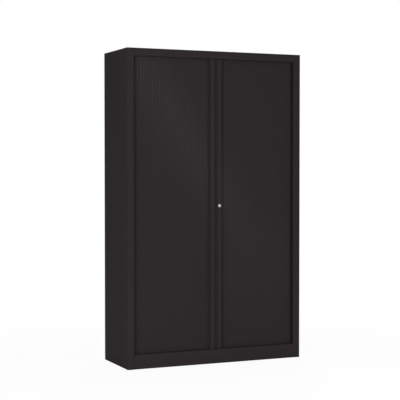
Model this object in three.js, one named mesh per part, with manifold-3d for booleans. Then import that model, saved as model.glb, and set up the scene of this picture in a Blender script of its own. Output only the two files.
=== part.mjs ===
// Tambour door cabinet: a steel cupboard with two slatted doors that run sideways in tracks.
// Millimetres, +Z up. The origin is at floor level, under the middle of the cabinet.
// +X is to the right of someone who faces the doors, and the doors face -Y.

import * as THREE from 'three';
import { mergeVertices } from 'three/addons/utils/BufferGeometryUtils.js';
import Module from 'manifold-3d';

const wasm = await Module();
wasm.setup();

// Overall size
const HEIGHT = 1980;
const WIDTH = 1200;
const DEPTH = 430;

// Sheet metal and fits
const CASE_SHEET = 1;
const BACK_SHEET = 0.8;
const LINER_SHEET = 0.8;
const BEND_RADIUS = 2; // to the middle of the sheet
const SEAM = 0.3; // left between two pieces that touch
const OVERRUN = 5; // how far a cutter reaches past what it cuts

// Case
const STILE_WIDTH = 44;
const STILE_RETURN = 22;
const TOP_RAIL_HEIGHT = 48;
const PLINTH_HEIGHT = 90;
const PLINTH_FOOT_FLANGE = 15;
const REAR_FLANGE = 18;
const BASE_PAN_FLANGE = 30;
const ROOF_PAN_FLANGE = 24;

// Curtains: the way they run, seen from above, and their slats
const CURTAIN_SETBACK = 30; // from the cabinet's front to the slats' faces
const SLAT_THICKNESS = 8;
const SLAT_PITCH = 20;
const SLAT_GROOVE_WIDTH = 1.8;
const SLAT_GROOVE_DEPTH = 1.2;
const SLAT_FACE_WALL = 1.6; // between a slat's face and the pocket in its back
const SLAT_SIDE_WALL = 1.9;
const SLAT_DRAFT = 0.4; // by which a slat's pocket and slit narrow towards the face
const SLAT_SLIT = 0.8; // between two slats, at the back
const SLAT_HINGE = 1.4; // the thin web that joins two slats
const CORNER_RADIUS = 40; // of the middle of the curtain
const SIDE_RUN_INSET = 20; // from the side to the middle of the curtain
const BACK_RUN_INSET = 20;
const BACK_RUN_LENGTH = 170; // past the rear corner
const CURTAIN_TAIL = 30; // past the front corner when the door is shut
const CURTAIN_END_GAP = 1; // from the curtain's end to the bottom of the groove

// Tracks
const TRACK_HEIGHT = 14;
const TRACK_GROOVE_DEPTH = 10;
const TRACK_WALL = 3;
const TRACK_CLEARANCE = 0.6; // each side of a slat

// Door handles: a hollow profile with a raised ridge. A soft strip on its side closes the gap
// at the meeting line.
const MEETING_GAP = 1.2;
const HANDLE_SETBACK = 4;
const RIDGE_START = 10; // from the centreline to the ridge
const LIP_SETBACK = 12;
const LIP_THICKNESS = 2.5;
const STRIP_FOOT_THICKNESS = 1.5;
const STRIP_FOOT_LENGTH = 10;
const RIDGE_WIDTH = 28.5;
const RIDGE_CORNER = 3;
const HANDLE_WALL = 2.2;
const CURTAIN_HOLDER_WIDTH = 7; // the part that the first slat joins
const HANDLE_END_GAP = 2; // from the end cap to the rail or plinth
const CAP_THICKNESS = 3;
const TONGUE_WIDTH = 26;
const TONGUE_THICKNESS = 7;

// Inside
const LINER_LAP = 8; // from the middle of the track's curve out to the inner side
const LINER_LEAD = 24; // how far the inner side reaches in front of that middle
const LINER_FLANGE = 10;
const FLOOR_GAP = 2; // between a track and the floor or ceiling panel
const SHELF_COUNT = 4;
const SHELF_HEIGHT = 25;
const SHELF_SIDE_GAP = 2;
const SHELF_SETBACK = 3; // front and rear
const SLOTS_PER_BAY = 7;
const SLOT_WIDTH = 5;
const SLOT_HEIGHT = 14;
const SLOT_COLUMN_INSET = 45; // from the inner side's front and rear edges
const CLIP_THICKNESS = 2;
const CLIP_WIDTH = 14;
const CLIP_REACH = 13;
const CLIP_HOOK_DROP = 6;
const CLIP_FIT = 0.4; // each side of the clip's tongue in its slot

// Levelling feet
const FOOT_INSET = 70; // from each side
const FOOT_SETBACK = 60; // from the front and the back
const FOOT_LIFT = 1; // clear of the floor when screwed in
const FOOT_PAD_RADIUS = 20;
const FOOT_PAD_HEIGHT = 7;
const FOOT_PAD_EDGE = 2;
const FOOT_STUD_RADIUS = 5;
const FOOT_STUD_LENGTH = 58;
const SOCKET_RADIUS = 9;
const SOCKET_PLATE = 60;
const SOCKET_PLATE_THICKNESS = 3;
const SOCKET_LENGTH = 44;
const THREAD_FIT = 0.35;

// Lock, in the right handle
const LOCK_HEIGHT = 1004;
const LOCK_OFFSET = 22; // from the centreline
const LOCK_FLANGE_RADIUS = 9.5;
const LOCK_FLANGE_THICKNESS = 2;
const LOCK_FLANGE_EDGE = 0.6;
const BARREL_RADIUS = 7.5;
const BARREL_LENGTH = 22.3; // behind the flange
const CORE_RADIUS = 5.4;
const CORE_RECESS = 0.4;
const KEYWAY_WIDTH = 1.8;
const KEYWAY_HEIGHT = 7;
const KEYWAY_DEPTH = 6;
const CORE_TAIL_RADIUS = 4;
const LOCK_FIT = 0.3;
const LOCK_CLIP_THICKNESS = 1;
const LOCK_CLIP_WIDTH = 18.6;
const LOCK_CLIP_HEIGHT = 24;
const HOOK_THICKNESS = 3;
const HOOK_HUB_RADIUS = 6.5;
const HOOK_ARM_WIDTH = 10;
const HOOK_LENGTH = 42; // from the lock's axis to its tip
const HOOK_BARB_LENGTH = 5;
const HOOK_BARB_REACH = 12; // from the middle of the arm
const HOOK_SCREW_RADIUS = 2;
const HOOK_SCREW_LENGTH = 8;
const HOOK_SCREW_HEAD_RADIUS = 5.5;
const HOOK_SCREW_HEAD_HEIGHT = 2.5;
const HOOK_CLEARANCE = 1.2; // round the hook, in the slots that it swings through
const STRIKE_THICKNESS = 1.5;
const STRIKE_MARGIN = 14; // of plate above and below its slot
const STRIKE_DEPTH = 22;

// Fineness of curves
const BEND_STEPS = 3;
const CORNER_STEPS = 8;
const ROUND_SIDES = 28;

// Places worked out from the sizes above
const FRONT = -DEPTH / 2;
const BACK = DEPTH / 2;
const SIDE = WIDTH / 2;
const HALF_CASE_SHEET = CASE_SHEET / 2;
const HALF_LINER_SHEET = LINER_SHEET / 2;
const INSIDE_BEND = BEND_RADIUS - HALF_CASE_SHEET;

const INNER_SIDE_FACE = SIDE - CASE_SHEET - SEAM; // what fits between the side panels
const INNER_FRONT_FACE = FRONT + CASE_SHEET + SEAM;
const STILE_EDGE = SIDE - STILE_WIDTH - SEAM;
const OPENING_TOP = HEIGHT - TOP_RAIL_HEIGHT;
const TOP_SHEET_UNDERSIDE = HEIGHT - CASE_SHEET;

const CURTAIN_Y = FRONT + CURTAIN_SETBACK + SLAT_THICKNESS / 2;
const SIDE_RUN_X = SIDE - SIDE_RUN_INSET;
const BACK_RUN_Y = BACK - BACK_RUN_INSET;
const CORNER_X = SIDE_RUN_X - CORNER_RADIUS;
const FRONT_CORNER_Y = CURTAIN_Y + CORNER_RADIUS;
const REAR_CORNER_Y = BACK_RUN_Y - CORNER_RADIUS;

const GROOVE_WIDTH = SLAT_THICKNESS + 2 * TRACK_CLEARANCE;
const TRACK_WIDTH = GROOVE_WIDTH + 2 * TRACK_WALL;
const TRACK_FRONT = CURTAIN_Y - TRACK_WIDTH / 2;
const TRACK_REAR = CURTAIN_Y + TRACK_WIDTH / 2;
const LOWER_TRACK_BOTTOM = PLINTH_HEIGHT - TRACK_HEIGHT;
const UPPER_TRACK_TOP = OPENING_TOP + TRACK_HEIGHT;
const CURTAIN_BOTTOM = PLINTH_HEIGHT - TRACK_GROOVE_DEPTH + CURTAIN_END_GAP;
const CURTAIN_TOP = OPENING_TOP + TRACK_GROOVE_DEPTH - CURTAIN_END_GAP;

const BASE_PAN_TOP = LOWER_TRACK_BOTTOM - SEAM;
const BASE_PAN_BOTTOM = BASE_PAN_TOP - CASE_SHEET;
const ROOF_PAN_BOTTOM = UPPER_TRACK_TOP + SEAM;

const LINER_X = CORNER_X + LINER_LAP;
const LINER_FRONT = FRONT_CORNER_Y - LINER_LEAD;
const BACK_LINER_Y = REAR_CORNER_Y + LINER_LAP;
const BAY_HEIGHT = (OPENING_TOP - PLINTH_HEIGHT) / (SHELF_COUNT + 1);
const SLOT_PITCH = BAY_HEIGHT / SLOTS_PER_BAY;
const SLOT_COLUMNS = [LINER_FRONT + SLOT_COLUMN_INSET, BACK_LINER_Y - SEAM - SLOT_COLUMN_INSET];

const HANDLE_FRONT = FRONT + HANDLE_SETBACK;
const HANDLE_REAR = CURTAIN_Y + SLAT_THICKNESS / 2;
const RIDGE_EDGE = RIDGE_START + RIDGE_WIDTH;
const HANDLE_EDGE = RIDGE_EDGE + CURTAIN_HOLDER_WIDTH;
const DOOR_BOTTOM = PLINTH_HEIGHT + HANDLE_END_GAP;
const DOOR_TOP = OPENING_TOP - HANDLE_END_GAP;
const HANDLE_BOTTOM = DOOR_BOTTOM + CAP_THICKNESS + SEAM;
const HANDLE_TOP = DOOR_TOP - CAP_THICKNESS - SEAM;

const LOCK_FACE = HANDLE_FRONT - SEAM - LOCK_FLANGE_THICKNESS;
const BARREL_END = HANDLE_FRONT - SEAM + BARREL_LENGTH;
const HOOK_FRONT = BARREL_END + 2 * SEAM;
const HOOK_REAR = HOOK_FRONT + HOOK_THICKNESS;
const HOOK_SWEEP = Math.hypot(HOOK_LENGTH, HOOK_BARB_REACH);

// Helpers: solids are joined and cut as manifolds, and handed back as geometries
function solidOf(geometry) {
  const plain = geometry.clone();
  plain.deleteAttribute('normal');
  plain.deleteAttribute('uv');
  const merged = mergeVertices(plain);
  return new wasm.Manifold(new wasm.Mesh({
    numProp: 3,
    vertProperties: new Float32Array(merged.attributes.position.array),
    triVerts: new Uint32Array(merged.index.array),
  }));
}

function geometryOf(solid) {
  const mesh = solid.getMesh();
  const geometry = new THREE.BufferGeometry();
  geometry.setAttribute('position', new THREE.BufferAttribute(mesh.vertProperties, 3));
  geometry.setIndex(new THREE.BufferAttribute(mesh.triVerts, 1));
  geometry.computeVertexNormals();
  return geometry;
}

function join(first, ...others) {
  const sum = others.reduce((solid, other) => solid.add(solidOf(other)), solidOf(first));
  return geometryOf(sum);
}

function cut(body, ...cutters) {
  const rest = cutters.reduce((solid, cutter) => solid.subtract(solidOf(cutter)), solidOf(body));
  return geometryOf(rest);
}

// A box between two opposite corners, given in either order
function block(corner, opposite) {
  const box = new THREE.Box3().setFromPoints([
    new THREE.Vector3(...corner),
    new THREE.Vector3(...opposite),
  ]);
  const size = box.getSize(new THREE.Vector3());
  const middle = box.getCenter(new THREE.Vector3());
  return new THREE.BoxGeometry(...size).translate(...middle);
}

// A shape in X and Y, carried upwards
function upright(shape, bottom, top) {
  const depth = top - bottom;
  const settings = { depth, bevelEnabled: false, curveSegments: CORNER_STEPS };
  return new THREE.ExtrudeGeometry(shape, settings).translate(0, 0, bottom);
}

// A shape in Y and Z, carried from left to right about the middle
function lengthwise(shape, halfLength) {
  const axes = new THREE.Matrix4().makeBasis(
    new THREE.Vector3(0, 1, 0),
    new THREE.Vector3(0, 0, 1),
    new THREE.Vector3(1, 0, 0),
  );
  const settings = { depth: 2 * halfLength, bevelEnabled: false };
  return new THREE.ExtrudeGeometry(shape, settings)
    .applyMatrix4(axes)
    .translate(-halfLength, 0, 0);
}

// A shape in X and Z, carried from the front to the rear
function frontToRear(shape, front, rear) {
  const axes = new THREE.Matrix4().makeBasis(
    new THREE.Vector3(1, 0, 0),
    new THREE.Vector3(0, 0, 1),
    new THREE.Vector3(0, -1, 0),
  );
  const settings = { depth: rear - front, bevelEnabled: false, curveSegments: ROUND_SIDES / 4 };
  return new THREE.ExtrudeGeometry(shape, settings).applyMatrix4(axes).translate(0, rear, 0);
}

// A round bar about the Y axis
function barY(radius, front, rear) {
  const length = rear - front;
  const middle = (front + rear) / 2;
  return new THREE.CylinderGeometry(radius, radius, length, ROUND_SIDES).translate(0, middle, 0);
}

// A line of straight runs joined by quarter turns. It is given by its corners, and at(distance)
// tells the place on it and the direction to its left.
function bentLine(corners, radius) {
  const points = corners.map((corner) => new THREE.Vector2(...corner));
  const pieces = [];
  let start = 0;
  const turn = (Math.PI / 2) * radius;
  for (let i = 0; i + 1 < points.length; i += 1) {
    const along = points[i + 1].clone().sub(points[i]);
    const trimStart = i > 0 ? radius : 0;
    const trimEnd = i + 2 < points.length ? radius : 0;
    const length = along.length() - trimStart - trimEnd;
    along.normalize();
    const from = points[i].clone().addScaledVector(along, trimStart);
    pieces.push({ start, length, at: (d) => [from.clone().addScaledVector(along, d), along] });
    start += length;
    if (trimEnd > 0) {
      const next = points[i + 2].clone().sub(points[i + 1]).normalize();
      const enter = points[i + 1].clone().addScaledVector(along, -radius);
      pieces.push({
        start,
        length: turn,
        bend: true,
        at: (d) => {
          const angle = d / radius;
          const place = enter.clone()
            .addScaledVector(along, radius * Math.sin(angle))
            .addScaledVector(next, radius * (1 - Math.cos(angle)));
          const heading = along.clone().multiplyScalar(Math.cos(angle))
            .addScaledVector(next, Math.sin(angle));
          return [place, heading];
        },
      });
      start += turn;
    }
  }
  const at = (distance) => {
    const later = pieces.findIndex((piece) => distance < piece.start + piece.length);
    const piece = later < 0 ? pieces[pieces.length - 1] : pieces[later];
    const [place, heading] = piece.at(distance - piece.start);
    return { place, left: new THREE.Vector2(-heading.y, heading.x) };
  };
  return { pieces, length: start, at };
}

// The distances at which a bent line needs a point, with its bends in equal steps
function stations(line, steps) {
  const list = [0];
  for (const piece of line.pieces) {
    const parts = piece.bend ? steps : 1;
    for (let i = 1; i <= parts; i += 1) list.push(piece.start + (piece.length * i) / parts);
  }
  return list;
}

// A strip along a bent line. Each of its edges is a list of pairs: a distance along the line, and
// how far to the left of the line the edge lies there.
function strip(line, leftEdge, rightEdge) {
  const placed = (edge) => edge.map(([distance, offset]) => {
    const { place, left } = line.at(distance);
    return place.addScaledVector(left, offset);
  });
  return new THREE.Shape([...placed(leftEdge), ...placed(rightEdge).reverse()]);
}

// A strip of one width, centred on a bent line
function evenStrip(line, steps, width) {
  const distances = stations(line, steps);
  const edge = (offset) => distances.map((distance) => [distance, offset]);
  return strip(line, edge(width / 2), edge(-width / 2));
}

// The section of a folded sheet, given by the corners of the middle of the sheet
function folded(corners, sheet) {
  return evenStrip(bentLine(corners, BEND_RADIUS), BEND_STEPS, sheet);
}

// An open tray: a flat sheet with an upright edge all round, on the side of its open face
function tray(low, high, sheet, openBelow) {
  const inside = [low.slice(), high.slice()];
  inside[0][0] += sheet;
  inside[0][1] += sheet;
  inside[1][0] -= sheet;
  inside[1][1] -= sheet;
  inside[0][2] += openBelow ? -OVERRUN : sheet;
  inside[1][2] += openBelow ? -sheet : OVERRUN;
  return cut(block(low, high), block(...inside));
}

// Finishes
const paintedSteel = () => new THREE.MeshStandardMaterial({
  color: '#2f2b2b', roughness: 0.55, metalness: 0.2,
});
const slatPlastic = () => new THREE.MeshStandardMaterial({
  color: '#302c2c', roughness: 0.45, metalness: 0,
});
const blackPlastic = () => new THREE.MeshStandardMaterial({
  color: '#1c1b1b', roughness: 0.5, metalness: 0,
});
const zincedSteel = () => new THREE.MeshStandardMaterial({
  color: '#8f9193', roughness: 0.4, metalness: 0.9,
});
const nickel = () => new THREE.MeshStandardMaterial({
  color: '#b9b9b6', roughness: 0.25, metalness: 1,
});

const cabinet = new THREE.Group();

function addPiece(name, geometry, material, place = [0, 0, 0]) {
  const mesh = new THREE.Mesh(geometry, material);
  mesh.name = name;
  mesh.position.set(...place);
  cabinet.add(mesh);
}

const SIDES = [['left', -1], ['right', 1]];

// A side panel: one sheet folded into the rear flange, the side, the stile and its return.
// All but the side itself stops below the top sheet.
function sidePanel(side) {
  const outer = side * (SIDE - HALF_CASE_SHEET);
  const stileInner = side * (SIDE - STILE_WIDTH + HALF_CASE_SHEET);
  const section = folded([
    [side * (SIDE - REAR_FLANGE), BACK - HALF_CASE_SHEET],
    [outer, BACK - HALF_CASE_SHEET],
    [outer, FRONT + HALF_CASE_SHEET],
    [stileInner, FRONT + HALF_CASE_SHEET],
    [stileInner, FRONT + STILE_RETURN],
  ], CASE_SHEET);
  const underTopSheet = block(
    [side * (SIDE - CASE_SHEET), FRONT - OVERRUN, TOP_SHEET_UNDERSIDE - SEAM],
    [side * (SIDE - STILE_WIDTH - OVERRUN), BACK + OVERRUN, HEIGHT + OVERRUN],
  );
  return cut(upright(section, 0, HEIGHT), underTopSheet);
}

// The top panel: one sheet folded into the rear flange, the top, the rail and its return.
// Its flanges are notched where the stiles and the side panels' rear flanges stand.
function topPanel() {
  const section = folded([
    [BACK - HALF_CASE_SHEET, HEIGHT - REAR_FLANGE],
    [BACK - HALF_CASE_SHEET, HEIGHT - HALF_CASE_SHEET],
    [FRONT + HALF_CASE_SHEET, HEIGHT - HALF_CASE_SHEET],
    [FRONT + HALF_CASE_SHEET, OPENING_TOP + HALF_CASE_SHEET],
    [TRACK_FRONT - SEAM, OPENING_TOP + HALF_CASE_SHEET],
  ], CASE_SHEET);
  const notches = SIDES.flatMap(([, side]) => [
    block(
      [side * STILE_EDGE, FRONT - OVERRUN, OPENING_TOP - OVERRUN],
      [side * (SIDE + OVERRUN), TRACK_FRONT, TOP_SHEET_UNDERSIDE],
    ),
    block(
      [side * (SIDE - REAR_FLANGE - SEAM), BACK - CASE_SHEET - INSIDE_BEND - SEAM, OPENING_TOP],
      [side * (SIDE + OVERRUN), BACK + OVERRUN, TOP_SHEET_UNDERSIDE],
    ),
  ]);
  return cut(lengthwise(section, INNER_SIDE_FACE), ...notches);
}

function plinth() {
  const section = folded([
    [FRONT + PLINTH_FOOT_FLANGE, HALF_CASE_SHEET],
    [FRONT + HALF_CASE_SHEET, HALF_CASE_SHEET],
    [FRONT + HALF_CASE_SHEET, PLINTH_HEIGHT - HALF_CASE_SHEET],
    [TRACK_FRONT - SEAM, PLINTH_HEIGHT - HALF_CASE_SHEET],
  ], CASE_SHEET);
  return lengthwise(section, STILE_EDGE);
}

// The pans run from side panel to side panel, notched round the stiles' returns
function pan(bottom, top, openBelow) {
  const rear = BACK - CASE_SHEET - BACK_SHEET - 2 * SEAM;
  const body = tray(
    [-INNER_SIDE_FACE, INNER_FRONT_FACE, bottom],
    [INNER_SIDE_FACE, rear - SEAM, top],
    CASE_SHEET,
    openBelow,
  );
  const notches = SIDES.map(([, side]) => block(
    [side * STILE_EDGE, FRONT, bottom - OVERRUN],
    [side * SIDE, FRONT + STILE_RETURN + SEAM, top + OVERRUN],
  ));
  return cut(body, ...notches);
}

// The floor and the ceiling of the inside are trays between the inner sides
function innerPanel(bottom, top, openBelow) {
  return tray(
    [-LINER_X + SEAM, TRACK_REAR + FLOOR_GAP, bottom],
    [LINER_X - SEAM, BACK_LINER_Y - SEAM, top],
    LINER_SHEET,
    openBelow,
  );
}

// An inner side: a sheet with two outward flanges and two columns of slots for shelf clips
function innerSide(side) {
  const inner = side * (LINER_X + HALF_LINER_SHEET);
  const outer = side * (LINER_X + LINER_FLANGE);
  const rear = BACK_LINER_Y - SEAM - HALF_LINER_SHEET;
  const section = folded([
    [outer, LINER_FRONT + HALF_LINER_SHEET],
    [inner, LINER_FRONT + HALF_LINER_SHEET],
    [inner, rear],
    [outer, rear],
  ], LINER_SHEET);
  const slots = [];
  const count = SLOTS_PER_BAY * (SHELF_COUNT + 1) - 1;
  for (const column of SLOT_COLUMNS) {
    for (let i = 1; i <= count; i += 1) {
      const top = PLINTH_HEIGHT + i * SLOT_PITCH;
      slots.push(block(
        [side * (LINER_X - OVERRUN), column - SLOT_WIDTH / 2, top - SLOT_HEIGHT],
        [side * (LINER_X + OVERRUN), column + SLOT_WIDTH / 2, top],
      ));
    }
  }
  return cut(upright(section, LOWER_TRACK_BOTTOM, UPPER_TRACK_TOP), ...slots);
}

function innerBack() {
  const outer = LINER_X + LINER_FLANGE;
  const section = folded([
    [-outer + HALF_LINER_SHEET, BACK_LINER_Y + LINER_FLANGE],
    [-outer + HALF_LINER_SHEET, BACK_LINER_Y + HALF_LINER_SHEET],
    [outer - HALF_LINER_SHEET, BACK_LINER_Y + HALF_LINER_SHEET],
    [outer - HALF_LINER_SHEET, BACK_LINER_Y + LINER_FLANGE],
  ], LINER_SHEET);
  return upright(section, LOWER_TRACK_BOTTOM, UPPER_TRACK_TOP);
}

// The outer back stands inside the rear flanges of the side panels, clear of their bends
function outerBack() {
  const rear = BACK - CASE_SHEET - SEAM;
  const half = INNER_SIDE_FACE - INSIDE_BEND;
  const top = TOP_SHEET_UNDERSIDE - SEAM - INSIDE_BEND;
  return block([-half, rear - BACK_SHEET, 0], [half, rear, top]);
}

// A track follows the curtain's way along the front, the side and the back, and its groove
// stops short of its rear end
function track(side, bottom, grooveBottom) {
  const way = (start, end) => bentLine([
    [side * start, CURTAIN_Y],
    [side * SIDE_RUN_X, CURTAIN_Y],
    [side * SIDE_RUN_X, BACK_RUN_Y],
    [side * end, BACK_RUN_Y],
  ], CORNER_RADIUS);
  const end = CORNER_X - BACK_RUN_LENGTH;
  const body = evenStrip(way(SEAM / 2, end), CORNER_STEPS, TRACK_WIDTH);
  const groove = evenStrip(way(-OVERRUN, end + TRACK_WALL), CORNER_STEPS, GROOVE_WIDTH);
  return cut(
    upright(body, bottom, bottom + TRACK_HEIGHT),
    upright(groove, grooveBottom, grooveBottom + TRACK_GROOVE_DEPTH + OVERRUN),
  );
}

// A curtain: slats side by side, along the front, round the corner and a little way down the
// side. Each slat has a pocket in its back, and a groove in front and a slit behind leave a thin
// hinge between two slats. A point in the middle of a slat keeps it inside the track's curve.
function curtain(side) {
  const line = bentLine([
    [side * (HANDLE_EDGE + SEAM), CURTAIN_Y],
    [side * SIDE_RUN_X, CURTAIN_Y],
    [side * SIDE_RUN_X, FRONT_CORNER_Y + CURTAIN_TAIL],
  ], CORNER_RADIUS);
  const count = Math.round(line.length / SLAT_PITCH);
  const pitch = line.length / count;
  const face = SLAT_THICKNESS / 2;
  const grooveBottom = face - SLAT_GROOVE_DEPTH;
  const pocketBottom = face - SLAT_FACE_WALL;
  const front = [[0, face]];
  const rear = [[0, -face]];
  for (let i = 0; i < count; i += 1) {
    const start = i * pitch;
    const end = start + pitch;
    if (i > 0) {
      const half = SLAT_GROOVE_WIDTH / 2;
      front.push(
        [start - half, face],
        [start - half / 2, grooveBottom],
        [start + half / 2, grooveBottom],
        [start + half, face],
      );
      const slit = SLAT_SLIT / 2;
      const slitBottom = grooveBottom - SLAT_HINGE;
      rear.push(
        [start - slit, -face],
        [start - slit + SLAT_DRAFT / 2, slitBottom],
        [start + slit - SLAT_DRAFT / 2, slitBottom],
        [start + slit, -face],
      );
    }
    front.push([start + pitch / 2, face]);
    rear.push(
      [start + SLAT_SIDE_WALL, -face],
      [start + SLAT_SIDE_WALL + SLAT_DRAFT, pocketBottom],
      [start + pitch / 2, pocketBottom],
      [end - SLAT_SIDE_WALL - SLAT_DRAFT, pocketBottom],
      [end - SLAT_SIDE_WALL, -face],
    );
  }
  front.push([line.length, face]);
  rear.push([line.length, -face]);
  // The slats' faces look out of the case, which is to the left of the left door's line
  const turned = (edge) => edge.map(([distance, offset]) => [distance, -side * offset]);
  const section = side < 0 ? strip(line, front, rear) : strip(line, turned(rear), turned(front));
  return upright(section, CURTAIN_BOTTOM, CURTAIN_TOP);
}

// The outline of a handle seen from above: the ridge with rounded front corners, and the flat
// part behind that holds the curtain's first slat
function handleOutline(side) {
  const frontCorner = (x, startAngle) => {
    const steps = Array.from({ length: BEND_STEPS + 1 }, (_, i) => i / BEND_STEPS);
    return steps.map((share) => {
      const angle = startAngle + (share * Math.PI) / 2;
      return [
        x + RIDGE_CORNER * Math.cos(angle),
        HANDLE_FRONT + RIDGE_CORNER + RIDGE_CORNER * Math.sin(angle),
      ];
    });
  };
  const points = [
    ...frontCorner(RIDGE_START + RIDGE_CORNER, Math.PI),
    ...frontCorner(RIDGE_EDGE - RIDGE_CORNER, Math.PI * 1.5),
    [RIDGE_EDGE, HANDLE_REAR - SLAT_THICKNESS],
    [HANDLE_EDGE, HANDLE_REAR - SLAT_THICKNESS],
    [HANDLE_EDGE, HANDLE_REAR],
    [RIDGE_START, HANDLE_REAR],
  ];
  return new THREE.Shape(points.map(([x, y]) => new THREE.Vector2(side * x, y)));
}

// The meeting strip: a lip that reaches to the meeting line, and a foot that lies on the ridge
function meetingStrip(side) {
  const seat = RIDGE_START - SEAM;
  const lipFront = FRONT + LIP_SETBACK;
  const points = [
    [MEETING_GAP / 2, lipFront],
    [seat, lipFront],
    [seat, lipFront + STRIP_FOOT_LENGTH],
    [seat - STRIP_FOOT_THICKNESS, lipFront + STRIP_FOOT_LENGTH],
    [seat - STRIP_FOOT_THICKNESS, lipFront + LIP_THICKNESS],
    [MEETING_GAP / 2, lipFront + LIP_THICKNESS],
  ];
  const section = new THREE.Shape(points.map(([x, y]) => new THREE.Vector2(side * x, y)));
  return upright(section, DOOR_BOTTOM, DOOR_TOP);
}

// The slot in a handle's inner wall that the hook swings through. The hook's tip sweeps a
// circle, so the slot reaches down as far as that circle crosses the near face of the wall.
function hookSlot(side, nearest) {
  const reach = side < 0 ? LOCK_OFFSET + RIDGE_START : LOCK_OFFSET - RIDGE_START - HANDLE_WALL;
  const drop = Math.sqrt(HOOK_SWEEP ** 2 - reach ** 2) + HOOK_CLEARANCE;
  const rise = HOOK_ARM_WIDTH / 2 + HOOK_CLEARANCE;
  const through = RIDGE_START + HANDLE_WALL + nearest;
  return block(
    [side * (RIDGE_START - OVERRUN), HOOK_FRONT - HOOK_CLEARANCE, LOCK_HEIGHT - drop],
    [side * through, HOOK_REAR + HOOK_CLEARANCE, LOCK_HEIGHT + rise],
  );
}

function handle(side) {
  const outer = upright(handleOutline(side), HANDLE_BOTTOM, HANDLE_TOP);
  const hollow = block(
    [side * (RIDGE_START + HANDLE_WALL), HANDLE_FRONT + HANDLE_WALL, HANDLE_BOTTOM - OVERRUN],
    [side * (RIDGE_EDGE - HANDLE_WALL), HANDLE_REAR - HANDLE_WALL, HANDLE_TOP + OVERRUN],
  );
  const openings = [hollow, hookSlot(side, HANDLE_WALL)];
  if (side > 0) {
    const bore = barY(BARREL_RADIUS + LOCK_FIT, FRONT - OVERRUN, HANDLE_FRONT + HANDLE_WALL + OVERRUN);
    openings.push(bore.translate(LOCK_OFFSET, 0, LOCK_HEIGHT));
  }
  return cut(outer, ...openings);
}

// An end cap closes a handle's end, and its tongue runs in the track's groove
function endCap(side, upper) {
  const near = upper ? DOOR_TOP : DOOR_BOTTOM;
  const far = upper ? near - CAP_THICKNESS : near + CAP_THICKNESS;
  const tip = upper ? CURTAIN_TOP : CURTAIN_BOTTOM;
  const plate = upright(handleOutline(side), Math.min(near, far), Math.max(near, far));
  const middle = (near + far) / 2;
  const tongue = block(
    [side * (RIDGE_EDGE - TONGUE_WIDTH), CURTAIN_Y - TONGUE_THICKNESS / 2, middle],
    [side * RIDGE_EDGE, CURTAIN_Y + TONGUE_THICKNESS / 2, tip],
  );
  return join(plate, tongue);
}

// A shelf is a tray that is open below
function shelf() {
  const half = LINER_X - SHELF_SIDE_GAP;
  return tray(
    [-half, LINER_FRONT + SHELF_SETBACK, SEAM],
    [half, BACK_LINER_Y - SHELF_SETBACK, SHELF_HEIGHT],
    LINER_SHEET,
    true,
  );
}

// A shelf clip, with its ledge's top at zero: the ledge, an upright against the inner side,
// a tongue through the slot and a hook behind it
function shelfClip(side) {
  const face = side * (LINER_X - SEAM);
  const hookFront = side * (LINER_X + LINER_SHEET + SEAM);
  const half = SLOT_WIDTH / 2 - CLIP_FIT;
  const tongueTop = -CLIP_FIT;
  const tongueBottom = CLIP_HOOK_DROP + CLIP_FIT - SLOT_HEIGHT;
  const ledge = block(
    [side * (LINER_X - CLIP_REACH), -CLIP_WIDTH / 2, -CLIP_THICKNESS],
    [face, CLIP_WIDTH / 2, 0],
  );
  const plate = block(
    [side * (LINER_X - SEAM - CLIP_THICKNESS), -CLIP_WIDTH / 2, -SLOT_HEIGHT],
    [face, CLIP_WIDTH / 2, -CLIP_THICKNESS / 2],
  );
  const tongue = block(
    [side * (LINER_X - SEAM - CLIP_THICKNESS / 2), -half, tongueBottom],
    [side * (LINER_X + LINER_SHEET + CLIP_THICKNESS), half, tongueTop],
  );
  const hook = block(
    [hookFront, -half, -SLOT_HEIGHT - CLIP_HOOK_DROP],
    [hookFront + side * CLIP_THICKNESS, half, tongueTop],
  );
  return join(ledge, plate, tongue, hook);
}

// A levelling foot: a pad on a stud, turned about its own axis
function levellingFoot() {
  const top = FOOT_LIFT + FOOT_PAD_HEIGHT;
  const profile = [
    [0, FOOT_LIFT],
    [FOOT_PAD_RADIUS - FOOT_PAD_EDGE, FOOT_LIFT],
    [FOOT_PAD_RADIUS, FOOT_LIFT + FOOT_PAD_EDGE],
    [FOOT_PAD_RADIUS, top - FOOT_PAD_EDGE],
    [FOOT_PAD_RADIUS - FOOT_PAD_EDGE, top],
    [FOOT_STUD_RADIUS, top],
    [FOOT_STUD_RADIUS, top + FOOT_STUD_LENGTH],
    [0, top + FOOT_STUD_LENGTH],
  ].map(([radius, height]) => new THREE.Vector2(radius, height));
  return new THREE.LatheGeometry(profile, ROUND_SIDES).rotateX(Math.PI / 2);
}

// The threaded socket that a foot screws into hangs from the base pan
function footSocket() {
  const top = BASE_PAN_BOTTOM - SEAM;
  const low = top - SOCKET_LENGTH;
  const half = SOCKET_PLATE / 2;
  const plate = block([-half, -half, top - SOCKET_PLATE_THICKNESS], [half, half, top]);
  const barZ = (radius, bottom, upper) => new THREE.CylinderGeometry(
    radius, radius, upper - bottom, ROUND_SIDES,
  ).rotateX(Math.PI / 2).translate(0, 0, (bottom + upper) / 2);
  const sleeve = barZ(SOCKET_RADIUS, low, top - SOCKET_PLATE_THICKNESS / 2);
  const bore = barZ(FOOT_STUD_RADIUS + THREAD_FIT, low - OVERRUN, top + OVERRUN);
  return cut(join(plate, sleeve), bore);
}

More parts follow.
